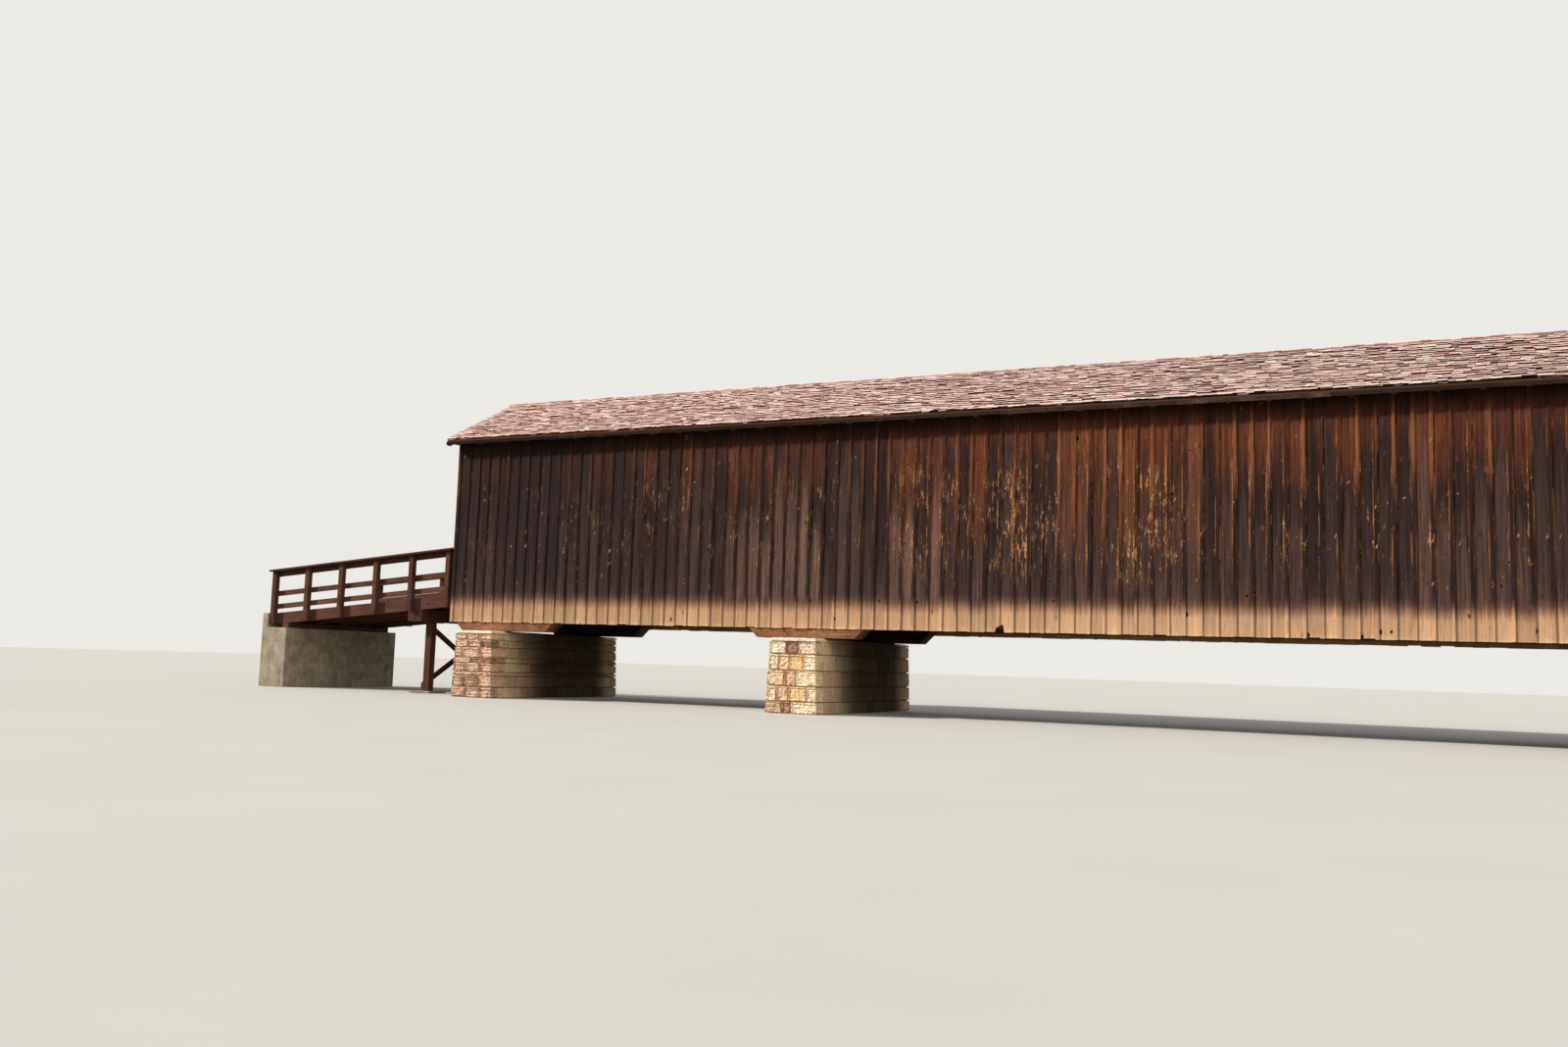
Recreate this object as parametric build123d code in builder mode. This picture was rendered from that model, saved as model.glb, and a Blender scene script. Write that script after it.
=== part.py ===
from build123d import *
import os
from math import cos, atan, sqrt

# Covered timber bridge on stone piers with a timber approach ramp at each end.
# Millimetres, a 1:2 scale model of the real bridge, X along the bridge, near side at -Y,
# Z up from the foot of the piers.
os.makedirs("parts", exist_ok=True)

fit = 0.3                      # gap between faces that meet but aren't glued

# Layout along X: two side spans, one main span, siding running on past the end piers
panel = 1062.5                 # spacing of the truss posts
side_panels = 4
main_panels = 8
overrun = 605.0                # siding beyond the last truss post over an end pier
main_half = main_panels * panel / 2
pier_far = main_half + side_panels * panel
half_length = pier_far + overrun
end_pier_out = 25.0            # the end piers stand a little outside those posts
pier_x = [-pier_far - end_pier_out, -main_half, main_half, pier_far + end_pier_out]
post_count = 2 * side_panels + main_panels + 1
post_x = [-pier_far + i * panel for i in range(post_count)]

# Stone piers: the long sides are battered, the ends stand plumb
pier_height = 788.0
pier_top_width = 550.0
pier_length = 2690.0
batter = 34.0                  # run of the batter on each long side

# Bearings
shim_thick = 15.0
shim_length = 430.0
bolster_depth = 150.0
bolster_flat = 1164.0          # flat length on the shim, before the bevelled ends
bolster_flat_end = 1258.0      # the same on an end pier, where the bolster reaches into the span
bolster_bevel = 150.0
bolster_shift = 15.0           # the bolsters sit a little off the piers' centres
bolster_shift_end = 204.0

# Side walls
half_width = 1100.0            # outer face of the siding
siding_thick = 25.0
siding_bottom = 905.0
siding_top = 3120.0
chip_panels = 1.9247           # the broken notch's place, in panels from the middle
nailer_thick = 40.0
nailer_height = 75.0

# Trusses
leaf = 60.0                    # thickness of one chord or arch leaf
post_size = 110.0
brace_width = 100.0
brace_depth = 100.0
chord_depth = 150.0
truss_outer = half_width - siding_thick - nailer_thick
truss_y = truss_outer - leaf - post_size / 2
truss_inner = truss_y - post_size / 2 - leaf
leaf_outer_y = truss_outer - leaf / 2
leaf_inner_y = truss_inner + leaf / 2
chord_bottom = pier_height + shim_thick + bolster_depth
chord_top = chord_bottom + chord_depth
head_top = 3180.0              # top of the top chord
head_bottom = head_top - chord_depth
member_end = half_length - siding_thick - fit

# Floor
floor_beam_depth = 112.0
floor_beam_width = 100.0
deck_thick = 40.0
deck_half = truss_inner - 5.0
deck_top = chord_top + floor_beam_depth + deck_thick

# Roof
eave_y = half_width + 150.0
eave_z = 3182.0                # top of the roof at the eave edge
ridge_z = 3833.0               # top of the roof at the ridge, under the ridge cap
roof_slope = (ridge_z - eave_z) / eave_y
roof_cos = cos(atan(roof_slope))
roof_drop = 40.0 / roof_cos    # vertical thickness of the shingled roof deck
rake = 85.0                    # roof overhang past the end walls
roof_end = half_length + rake
rafter_drop = 75.0 / roof_cos
rafter_width = 50.0
rafter_count = 52
ridge_beam_half = 15.0
fascia_thick = 20.0
fascia_bottom = 3095.0
rake_thick = 20.0
rake_drop = 95.0
cap_width = 120.0
cap_thick = 16.0

# Approach ramps
ramp_slope = 0.088
ramp_length = 3165.0
ramp_bottom = 1106.0           # underside of the ramp beams where they meet the bridge
ramp_beam_depth = 150.0
ramp_beam_width = 70.0
ramp_beam_face = 950.0
ramp_deck_thick = 30.0
ramp_start = half_length + fit
ramp_end = half_length + ramp_length
ramp_end_gap = 10.0            # between the beams' ends and the back wall
rail_post = 70.0
rail_post_first = 155.0         # first and last posts' centres from the beams' ends
rail_post_last = 35.0
rail_post_count = 6
rail_post_pitch = (ramp_length - rail_post_first - rail_post_last) / (rail_post_count - 1)
rail_thick = 20.0
rail_height = 70.0
rail_low = 200.0               # heights above the underside of the beams
rail_mid = 375.0
rail_top = 635.0
rail_cap_level = 705.0
rail_cap_thick = 25.0
rail_cap_in = 915.0
rail_cap_out = 1060.0
bent_reach = 700.0             # from the bridge's end to the bent
bent_x = half_length + bent_reach
bent_cap_half = 113.0
bent_cap_bottom = 905.0
bent_post = 100.0
bent_post_y = 625.0
bent_brace_thick = 25.0
bent_brace_width = 80.0
footing_size = 330.0
footing_height = 25.0
seat_top = 785.0
seat_bearing = 347.0           # length of the ramp's end that lies over the seat
seat_front = ramp_end - seat_bearing
seat_back = ramp_end + ramp_end_gap
backwall_thick = 95.0
abutment_half = 1040.0
sill_width = 120.0
sill_setback = 68.0
sill_x = seat_front + sill_setback


def roof_top(y):
    # Height of the roof's upper face at a distance y from the centre plane
    return ridge_z - roof_slope * y


def ramp_under(x):
    # Height of the underside of the ramp beams at a distance x from the bridge's middle
    return ramp_bottom - (x - half_length) * ramp_slope


# The four stone piers
with BuildPart() as pier:
    with BuildSketch(Plane.XY):
        Rectangle(pier_top_width + 2 * batter, pier_length)
    with BuildSketch(Plane.XY.offset(pier_height)):
        Rectangle(pier_top_width, pier_length)
    loft()
for i, x in enumerate(pier_x):
    with BuildPart() as one_pier:
        with Locations((x, 0, 0)):
            add(pier.part)
    one_pier.part.label = f"pier_{i + 1}"
    export_step(one_pier.part, f"parts/pier_{i + 1}.step")

# Thin bearing shims on the pier tops, under each bolster
shim_y = half_width - siding_thick - 120
with BuildPart() as bearing_shims:
    with Locations(*[(x, s * shim_y, pier_height) for x in pier_x for s in (-1, 1)]):
        Box(shim_length, 180, shim_thick, align=(Align.CENTER, Align.CENTER, Align.MIN))
bearing_shims.part.label = "bearing_shims"
export_step(bearing_shims.part, "parts/bearing_shims.step")

# Bolsters: short timbers with bevelled ends that carry the chords over each pier
bolster_z = pier_height + shim_thick
with BuildPart() as bolsters:
    for flat, centre in ((bolster_flat_end, pier_far - bolster_shift_end),
                         (bolster_flat, main_half - bolster_shift)):
        for e in (-1, 1):
            for s in (-1, 1):
                with BuildSketch(Plane.XZ.offset(s * shim_y - 120)):
                    Polygon((e * centre - flat / 2, bolster_z), (e * centre + flat / 2, bolster_z),
                            (e * centre + flat / 2 + bolster_bevel, bolster_z + bolster_depth),
                            (e * centre - flat / 2 - bolster_bevel, bolster_z + bolster_depth), align=None)
                extrude(amount=240)
bolsters.part.label = "bolsters"
export_step(bolsters.part, "parts/bolsters.step")

# Bottom chords: two leaves a side, clasping the posts
with BuildPart() as bottom_chords:
    with Locations(*[(0, s * y, chord_bottom) for y in (leaf_outer_y, leaf_inner_y) for s in (-1, 1)]):
        Box(2 * member_end, leaf, chord_depth, align=(Align.CENTER, Align.CENTER, Align.MIN))
bottom_chords.part.label = "bottom_chords"
export_step(bottom_chords.part, "parts/bottom_chords.step")

# Top chords, the same way
with BuildPart() as top_chords:
    with Locations(*[(0, s * y, head_bottom) for y in (leaf_outer_y, leaf_inner_y) for s in (-1, 1)]):
        Box(2 * member_end, leaf, chord_depth, align=(Align.CENTER, Align.CENTER, Align.MIN))
top_chords.part.label = "top_chords"
export_step(top_chords.part, "parts/top_chords.step")

# Truss posts between the leaves, and one at each end to carry the end walls
end_post_x = member_end - post_size / 2
with BuildPart() as truss_posts:
    with Locations(*[(x, s * truss_y, chord_bottom) for x in [-end_post_x] + post_x + [end_post_x]
                     for s in (-1, 1)]):
        Box(post_size, post_size, head_top - chord_bottom, align=(Align.CENTER, Align.CENTER, Align.MIN))
truss_posts.part.label = "truss_posts"
export_step(truss_posts.part, "parts/truss_posts.step")

# Truss braces: one to a panel, rising towards the middle of each span
run = panel - post_size
rise = head_bottom - chord_top
steep = 1.0
for _ in range(20):
    half_v = brace_depth / 2 * sqrt(1 + steep * steep)
    steep = (rise - 2 * half_v - 4) / run
foot_z = chord_top + 2 + half_v
head_z = head_bottom - 2 - half_v
with BuildPart() as brace_right:
    with BuildSketch(Plane.XZ.offset(-brace_width / 2)):
        Polygon((post_size / 2, foot_z - half_v), (panel - post_size / 2, head_z - half_v),
                (panel - post_size / 2, head_z + half_v), (post_size / 2, foot_z + half_v), align=None)
    extrude(amount=brace_width)
with BuildPart() as brace_left:
    with BuildSketch(Plane.XZ.offset(-brace_width / 2)):
        Polygon((post_size / 2, head_z - half_v), (panel - post_size / 2, foot_z - half_v),
                (panel - post_size / 2, foot_z + half_v), (post_size / 2, head_z + half_v), align=None)
    extrude(amount=brace_width)
rising_right = [i for span, first in ((side_panels, 0), (main_panels, side_panels),
                                      (side_panels, side_panels + main_panels))
                for i in range(first, first + span // 2)]
rising_left = [i for i in range(post_count - 1) if i not in rising_right]
with BuildPart() as truss_braces:
    with Locations(*[(post_x[i], s * truss_y, 0) for i in rising_right for s in (-1, 1)]):
        add(brace_right.part)
    with Locations(*[(post_x[i], s * truss_y, 0) for i in rising_left for s in (-1, 1)]):
        add(brace_left.part)
truss_braces.part.label = "truss_braces"
export_step(truss_braces.part, "parts/truss_braces.step")

# Segmental arches over the main span: a leaf on each side of the posts
arch_half_span = main_half - 175.0
arch_crown = 2795.0
arch_depth = 150.0
arch_rise = arch_crown - chord_top
arch_radius = (arch_half_span ** 2 + arch_rise ** 2) / (2 * arch_rise)
arch_centre = arch_crown - arch_radius
with BuildPart() as arches:
    with BuildSketch(Plane.XZ.offset(-leaf / 2)) as arch_ring:
        with Locations((0, arch_centre)):
            Circle(arch_radius + arch_depth / 2)
            Circle(arch_radius - arch_depth / 2, mode=Mode.SUBTRACT)
        with Locations((0, chord_top)):
            Rectangle(2 * main_half, 2 * arch_crown, align=(Align.CENTER, Align.MIN), mode=Mode.INTERSECT)
    extrude(amount=leaf)
arch_leaf = arches.part
with BuildPart() as arches:
    with Locations(*[(0, s * y, 0) for y in (leaf_outer_y, leaf_inner_y) for s in (-1, 1)]):
        add(arch_leaf)
arches.part.label = "arches"
export_step(arches.part, "parts/arches.step")

# Floor beams, laid across on the inner leaves of the bottom chords, two to a panel
floor_count = 2 * (post_count - 1) + 1
with BuildPart() as floor_beams:
    with Locations(*[(-pier_far + i * panel / 2, 0, chord_top) for i in range(floor_count)],
                   *[(s * (member_end - floor_beam_width / 2), 0, chord_top) for s in (-1, 1)]):
        Box(floor_beam_width, 2 * (truss_inner + leaf), floor_beam_depth,
            align=(Align.CENTER, Align.CENTER, Align.MIN))
floor_beams.part.label = "floor_beams"
export_step(floor_beams.part, "parts/floor_beams.step")

# Bridge deck: planks laid lengthways on the floor beams
with BuildPart() as bridge_deck:
    with Locations((0, 0, deck_top)):
        Box(2 * half_length, 2 * deck_half, deck_thick, align=(Align.CENTER, Align.CENTER, Align.MAX))
bridge_deck.part.label = "bridge_deck"
export_step(bridge_deck.part, "parts/bridge_deck.step")

# Tie beams across the top, between the trusses
tie_depth = 130.0
with BuildPart() as tie_beams:
    with Locations(*[(x, 0, head_bottom) for x in post_x]):
        Box(post_size, 2 * truss_inner, tie_depth, align=(Align.CENTER, Align.CENTER, Align.MIN))
tie_beams.part.label = "tie_beams"
export_step(tie_beams.part, "parts/tie_beams.step")

# Knee braces from the posts up to every second tie beam
knee_width = 70.0
knee_rise = 430.0
knee_thick = 56.0              # vertical half thickness
post_inner = truss_inner + leaf
with BuildPart() as knee:
    with BuildSketch(Plane.YZ.offset(-knee_width / 2)):
        Polygon((post_inner, head_bottom - knee_rise - knee_thick),
                (post_inner, head_bottom - knee_rise + knee_thick),
                (post_inner - knee_rise + knee_thick, head_bottom),
                (post_inner - knee_rise - knee_thick, head_bottom), align=None)
    extrude(amount=knee_width)
with BuildPart() as knee_pair:
    add(knee.part)
    mirror(about=Plane.XZ)
with BuildPart() as knee_braces:
    with Locations(*[(x, 0, 0) for x in post_x[::2]]):
        add(knee_pair.part)
knee_braces.part.label = "knee_braces"
export_step(knee_braces.part, "parts/knee_braces.step")

# Rafters: pairs seated on the outer leaves of the top chords, meeting at the ridge beam
tail_y = eave_y - fascia_thick
tail_bottom = fascia_bottom + 3


def rafter_low(y):
    return roof_top(y) - roof_drop - rafter_drop


tail_flat_y = (ridge_z - roof_drop - rafter_drop - tail_bottom) / roof_slope
seat_y = (ridge_z - roof_drop - rafter_drop - head_top) / roof_slope
with BuildPart() as rafter:
    with BuildSketch(Plane.YZ.offset(-rafter_width / 2)):
        Polygon((ridge_beam_half, roof_top(ridge_beam_half) - roof_drop),
                (ridge_beam_half, rafter_low(ridge_beam_half)),
                (seat_y, head_top), (truss_outer + fit, head_top),
                (truss_outer + fit, rafter_low(truss_outer + fit)),
                (tail_flat_y, tail_bottom), (tail_y, tail_bottom),
                (tail_y, roof_top(tail_y) - roof_drop), align=None)
    extrude(amount=rafter_width)
with BuildPart() as rafter_pair:
    add(rafter.part)
    mirror(about=Plane.XZ)
rafter_reach = member_end - rafter_width / 2 - 5
with BuildPart() as rafters:
    with Locations(*[(-rafter_reach + i * 2 * rafter_reach / (rafter_count - 1), 0, 0)
                     for i in range(rafter_count)]):
        add(rafter_pair.part)
rafters.part.label = "rafters"
export_step(rafters.part, "parts/rafters.step")

# Ridge beam
ridge_beam_top = roof_top(ridge_beam_half) - roof_drop
with BuildPart() as ridge_beam:
    with Locations((0, 0, ridge_beam_top)):
        Box(2 * member_end, 2 * ridge_beam_half, 110, align=(Align.CENTER, Align.CENTER, Align.MAX))
ridge_beam.part.label = "ridge_beam"
export_step(ridge_beam.part, "parts/ridge_beam.step")

# Shingled roof decks, near and far, meeting at the ridge
for side, s in (("near", -1), ("far", 1)):
    with BuildPart() as roof:
        with BuildSketch(Plane.YZ.offset(-roof_end)):
            Polygon((0, ridge_z), (0, ridge_z - roof_drop), (s * eave_y, eave_z - roof_drop),
                    (s * eave_y, eave_z), align=None)
        extrude(amount=2 * roof_end)
    roof.part.label = f"roof_{side}"
    export_step(roof.part, f"parts/roof_{side}.step")

# Ridge cap boards over the joint
with BuildPart() as ridge_cap:
    with BuildSketch(Plane.YZ.offset(-roof_end)):
        Polygon((0, ridge_z), (cap_width, roof_top(cap_width)), (cap_width, roof_top(cap_width) + cap_thick),
                (0, ridge_z + cap_thick), (-cap_width, roof_top(cap_width) + cap_thick),
                (-cap_width, roof_top(cap_width)), align=None)
    extrude(amount=2 * roof_end)
ridge_cap.part.label = "ridge_cap"
export_step(ridge_cap.part, "parts/ridge_cap.step")

# Siding nailers: four rails a side on the outer faces of the trusses
nailer_z = [chord_bottom + 10, 1690.0, 2390.0, head_bottom - 10]
with BuildPart() as siding_nailers:
    with Locations(*[(0, s * (truss_outer + nailer_thick / 2), z) for z in nailer_z for s in (-1, 1)]):
        Box(2 * member_end, nailer_thick, nailer_height, align=(Align.CENTER, Align.CENTER, Align.MIN))
siding_nailers.part.label = "siding_nailers"
export_step(siding_nailers.part, "parts/siding_nailers.step")

# Siding walls, near and far. The near one has a piece broken out of its bottom edge
chip_x = -chip_panels * panel
for side, s in (("near", -1), ("far", 1)):
    with BuildPart() as siding:
        with Locations((0, s * (half_width - siding_thick / 2), siding_bottom)):
            Box(2 * half_length, siding_thick, siding_top - siding_bottom,
                align=(Align.CENTER, Align.CENTER, Align.MIN))
        if side == "near":
            with BuildSketch(Plane.XZ.offset(half_width)):
                Polygon((chip_x - 62, siding_bottom), (chip_x - 50, siding_bottom + 42),
                        (chip_x + 26, siding_bottom + 86), (chip_x + 34, siding_bottom), align=None)
            extrude(amount=-siding_thick, mode=Mode.SUBTRACT)
    siding.part.label = f"siding_{side}"
    export_step(siding.part, f"parts/siding_{side}.step")

# End walls with their portals, closing the gables up to the roof
gable_y = half_width - siding_thick - fit
opening_bottom = deck_top - deck_thick
opening_spring = head_bottom - 330
opening_crown = head_bottom - 90
opening_cut = 200.0
for side, s in (("left", -1), ("right", 1)):
    with BuildPart() as portal:
        with BuildSketch(Plane.YZ.offset(half_length - siding_thick if s > 0 else -half_length)):
            Polygon((-gable_y, siding_bottom), (gable_y, siding_bottom),
                    (gable_y, roof_top(gable_y) - roof_drop - fit), (0, ridge_z - roof_drop - fit),
                    (-gable_y, roof_top(gable_y) - roof_drop - fit), align=None)
            Polygon((-deck_half - fit, opening_bottom), (deck_half + fit, opening_bottom),
                    (deck_half + fit, opening_spring), (deck_half - opening_cut, opening_crown),
                    (opening_cut - deck_half, opening_crown), (-deck_half - fit, opening_spring),
                    align=None, mode=Mode.SUBTRACT)
        extrude(amount=siding_thick)
    portal.part.label = f"portal_{side}"
    export_step(portal.part, f"parts/portal_{side}.step")

# Fascia boards under the eaves
rake_inner = roof_end - rake_thick
with BuildPart() as fascia_boards:
    with Locations(*[(0, s * (eave_y - fascia_thick / 2), fascia_bottom) for s in (-1, 1)]):
        Box(2 * rake_inner, fascia_thick, eave_z - roof_drop - fascia_bottom,
            align=(Align.CENTER, Align.CENTER, Align.MIN))
fascia_boards.part.label = "fascia_boards"
export_step(fascia_boards.part, "parts/fascia_boards.step")

# Rake boards under the roof's ends
with BuildPart() as rake_board:
    with BuildSketch(Plane.YZ.offset(rake_inner)):
        Polygon((0, ridge_z - roof_drop), (eave_y, eave_z - roof_drop), (eave_y, fascia_bottom),
                (eave_y - 60, fascia_bottom - 5), (0, ridge_z - roof_drop - rake_drop),
                (60 - eave_y, fascia_bottom - 5), (-eave_y, fascia_bottom), (-eave_y, eave_z - roof_drop),
                align=None)
    extrude(amount=rake_thick)
with BuildPart() as rake_boards:
    add(rake_board.part)
    mirror(about=Plane.YZ)
rake_boards.part.label = "rake_boards"
export_step(rake_boards.part, "parts/rake_boards.step")

# Ramp beams: two deep edge beams and three stringers on each ramp
ramp_far_z = ramp_under(ramp_end)
ramp_near_z = ramp_under(ramp_start)
stringer_depth = ramp_beam_depth - ramp_deck_thick
with BuildPart() as edge_beam:
    with BuildSketch(Plane.XZ.offset(-ramp_beam_width / 2)):
        Polygon((ramp_start, ramp_near_z), (ramp_end, ramp_far_z), (ramp_end, ramp_far_z + ramp_beam_depth),
                (ramp_start, ramp_near_z + ramp_beam_depth), align=None)
    extrude(amount=ramp_beam_width)
with BuildPart() as stringer:
    with BuildSketch(Plane.XZ.offset(-ramp_beam_width / 2)):
        Polygon((ramp_start, ramp_near_z), (ramp_end, ramp_far_z), (ramp_end, ramp_far_z + stringer_depth),
                (ramp_start, ramp_near_z + stringer_depth), align=None)
    extrude(amount=ramp_beam_width)
edge_y = ramp_beam_face - ramp_beam_width / 2
with BuildPart() as ramp_beams:
    with Locations(*[(0, y, 0) for y in (-edge_y, edge_y)]):
        add(edge_beam.part)
    with Locations(*[(0, y, 0) for y in (-edge_y / 2, 0, edge_y / 2)]):
        add(stringer.part)
    mirror(about=Plane.YZ)
ramp_beams.part.label = "ramp_beams"
export_step(ramp_beams.part, "parts/ramp_beams.step")

# Ramp decks: planks between the edge beams, on the stringers
ramp_deck_half = ramp_beam_face - ramp_beam_width - fit
with BuildPart() as ramp_decks:
    with BuildSketch(Plane.XZ.offset(-ramp_deck_half)):
        Polygon((ramp_start, ramp_near_z + stringer_depth), (ramp_end, ramp_far_z + stringer_depth),
                (ramp_end, ramp_far_z + ramp_beam_depth), (ramp_start, ramp_near_z + ramp_beam_depth),
                align=None)
    extrude(amount=2 * ramp_deck_half)
    mirror(about=Plane.YZ)
ramp_decks.part.label = "ramp_decks"
export_step(ramp_decks.part, "parts/ramp_decks.step")

# Railings: posts on the beams' outer faces, three rails inside them and a plank on top
rail_overrun = 30.0
rail_end = ramp_end + rail_overrun
for end, e in (("left", -1), ("right", 1)):
    for side, s in (("near", -1), ("far", 1)):
        with BuildPart() as railing:
            for k in range(rail_post_count):
                x = half_length + rail_post_first + k * rail_post_pitch
                low = ramp_under(x + rail_post / 2)
                top = ramp_under(x) + rail_cap_level
                with Locations((e * x, s * (ramp_beam_face + rail_post / 2), low)):
                    Box(rail_post, rail_post, top - low, align=(Align.CENTER, Align.CENTER, Align.MIN))
            for level, height, y_in, y_out in ((rail_low, rail_height, ramp_beam_face - rail_thick, ramp_beam_face),
                                               (rail_mid, rail_height, ramp_beam_face - rail_thick, ramp_beam_face),
                                               (rail_top, rail_cap_level - rail_top, ramp_beam_face - rail_thick,
                                                ramp_beam_face),
                                               (rail_cap_level, rail_cap_thick, rail_cap_in, rail_cap_out)):
                with BuildSketch(Plane.XZ.offset(y_out if s < 0 else -y_in)):
                    Polygon((e * (ramp_start + 5), ramp_under(ramp_start + 5) + level),
                            (e * rail_end, ramp_under(rail_end) + level),
                            (e * rail_end, ramp_under(rail_end) + level + height),
                            (e * (ramp_start + 5), ramp_under(ramp_start + 5) + level + height), align=None)
                extrude(amount=-(y_out - y_in))
        railing.part.label = f"railing_{end}_{side}"
        export_step(railing.part, f"parts/railing_{end}_{side}.step")

# Bents: a pair of cap timbers across two posts under each ramp
cap_out = bent_x + bent_cap_half
cap_in = bent_x - bent_cap_half
with BuildPart() as bent_caps:
    with BuildSketch(Plane.XZ.offset(-ramp_beam_face)):
        Polygon((cap_in, bent_cap_bottom), (bent_x - 1, bent_cap_bottom), (bent_x - 1, ramp_under(bent_x - 1)),
                (cap_in, ramp_under(cap_in)), align=None)
        Polygon((bent_x + 1, bent_cap_bottom), (cap_out, bent_cap_bottom), (cap_out, ramp_under(cap_out)),
                (bent_x + 1, ramp_under(bent_x + 1)), align=None)
    extrude(amount=2 * ramp_beam_face)
    mirror(about=Plane.YZ)
bent_caps.part.label = "bent_caps"
export_step(bent_caps.part, "parts/bent_caps.step")

with BuildPart() as bent_posts:
    with Locations(*[(e * bent_x, s * bent_post_y, footing_height) for e in (-1, 1) for s in (-1, 1)]):
        Box(bent_post, bent_post, bent_cap_bottom - footing_height, align=(Align.CENTER, Align.CENTER, Align.MIN))
bent_posts.part.label = "bent_posts"
export_step(bent_posts.part, "parts/bent_posts.step")

# Sway braces: one plank on each face of a bent, crossing from foot to head
brace_half = bent_post_y + bent_post / 2
brace_low = 90.0
brace_high = 830.0
with BuildPart() as bent_braces:
    with BuildSketch(Plane.YZ.offset(bent_x + bent_post / 2)):
        Polygon((-brace_half, brace_low - bent_brace_width / 2), (brace_half, brace_high - bent_brace_width / 2),
                (brace_half, brace_high + bent_brace_width / 2), (-brace_half, brace_low + bent_brace_width / 2),
                align=None)
    extrude(amount=bent_brace_thick)
    with BuildSketch(Plane.YZ.offset(bent_x - bent_post / 2 - bent_brace_thick)):
        Polygon((brace_half, brace_low - bent_brace_width / 2), (-brace_half, brace_high - bent_brace_width / 2),
                (-brace_half, brace_high + bent_brace_width / 2), (brace_half, brace_low + bent_brace_width / 2),
                align=None)
    extrude(amount=bent_brace_thick)
    mirror(about=Plane.YZ)
bent_braces.part.label = "bent_braces"
export_step(bent_braces.part, "parts/bent_braces.step")

# Concrete pads under the bents' posts
with BuildPart() as bent_footings:
    with Locations(*[(e * bent_x, s * bent_post_y, 0) for e in (-1, 1) for s in (-1, 1)]):
        Box(footing_size, footing_size, footing_height, align=(Align.CENTER, Align.CENTER, Align.MIN))
bent_footings.part.label = "bent_footings"
export_step(bent_footings.part, "parts/bent_footings.step")

# Timber sills between the abutment seats and the ramp beams
with BuildPart() as ramp_sills:
    with BuildSketch(Plane.XZ.offset(-ramp_beam_face)):
        Polygon((sill_x, seat_top), (sill_x + sill_width, seat_top), (sill_x + sill_width,
                ramp_under(sill_x + sill_width)), (sill_x, ramp_under(sill_x)), align=None)
    extrude(amount=2 * ramp_beam_face)
    mirror(about=Plane.YZ)
ramp_sills.part.label = "ramp_sills"
export_step(ramp_sills.part, "parts/ramp_sills.step")

# Concrete abutments: a seat for the beams and a back wall up to the deck
wall_top = ramp_under(ramp_end) + ramp_beam_depth
for side, s in (("left", -1), ("right", 1)):
    with BuildPart() as abutment:
        with BuildSketch(Plane.XZ.offset(-abutment_half)):
            Polygon((s * seat_front, 0), (s * (seat_back + backwall_thick), 0),
                    (s * (seat_back + backwall_thick), wall_top), (s * seat_back, wall_top),
                    (s * seat_back, seat_top), (s * seat_front, seat_top), align=None)
        extrude(amount=2 * abutment_half)
    abutment.part.label = f"abutment_{side}"
    export_step(abutment.part, f"parts/abutment_{side}.step")
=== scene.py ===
import math
import bmesh
import bpy
import numpy as np
from mathutils import Matrix, Vector, noise


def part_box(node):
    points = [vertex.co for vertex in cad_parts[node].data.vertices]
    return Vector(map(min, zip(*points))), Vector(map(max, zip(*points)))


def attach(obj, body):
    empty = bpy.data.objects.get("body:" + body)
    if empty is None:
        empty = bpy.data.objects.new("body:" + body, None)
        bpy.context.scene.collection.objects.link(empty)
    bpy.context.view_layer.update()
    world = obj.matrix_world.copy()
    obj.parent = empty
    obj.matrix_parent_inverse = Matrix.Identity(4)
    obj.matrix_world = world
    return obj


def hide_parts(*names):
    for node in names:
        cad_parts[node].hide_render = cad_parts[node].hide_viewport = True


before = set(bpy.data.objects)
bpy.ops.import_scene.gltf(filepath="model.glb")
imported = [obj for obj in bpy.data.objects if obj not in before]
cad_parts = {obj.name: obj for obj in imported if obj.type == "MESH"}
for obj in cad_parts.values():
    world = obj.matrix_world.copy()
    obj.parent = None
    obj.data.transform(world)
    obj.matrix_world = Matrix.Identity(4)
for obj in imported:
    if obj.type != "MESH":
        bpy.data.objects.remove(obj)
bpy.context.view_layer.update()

# ---- Stone piers ----
# Four battered piers of coursed limestone blocks, rock-faced on the short ends and
# dressed flatter along the sides. The blocks are bedded in lime mortar round a solid
# core, with a thin pale bed on top that takes the bearing shims.


def paint(red, green, blue):
    """A colour read off a chart, 0 to 255, as the linear value that a shader takes."""
    parts = [c / 255 for c in (red, green, blue)]
    return tuple(c / 12.92 if c <= 0.04045 else ((c + 0.055) / 1.055) ** 2.4 for c in parts) + (1.0,)


class Value:
    """An output of a node, which can be reckoned with as a number can."""

    def __init__(self, bench, socket):
        self.bench, self.socket = bench, socket

    def __add__(self, other):
        return self.bench.math("ADD", self, other)

    def __sub__(self, other):
        return self.bench.math("SUBTRACT", self, other)

    def __rsub__(self, other):
        return self.bench.math("SUBTRACT", other, self)

    def __mul__(self, other):
        return self.bench.math("MULTIPLY", self, other)

    def __truediv__(self, other):
        return self.bench.math("DIVIDE", self, other)

    def __abs__(self):
        return self.bench.math("ABSOLUTE", self)


class Outputs:
    """The outputs of one node, by number or by name."""

    def __init__(self, bench, node):
        self.bench, self.node = bench, node

    def __getitem__(self, key):
        return Value(self.bench, self.node.outputs[key])


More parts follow.
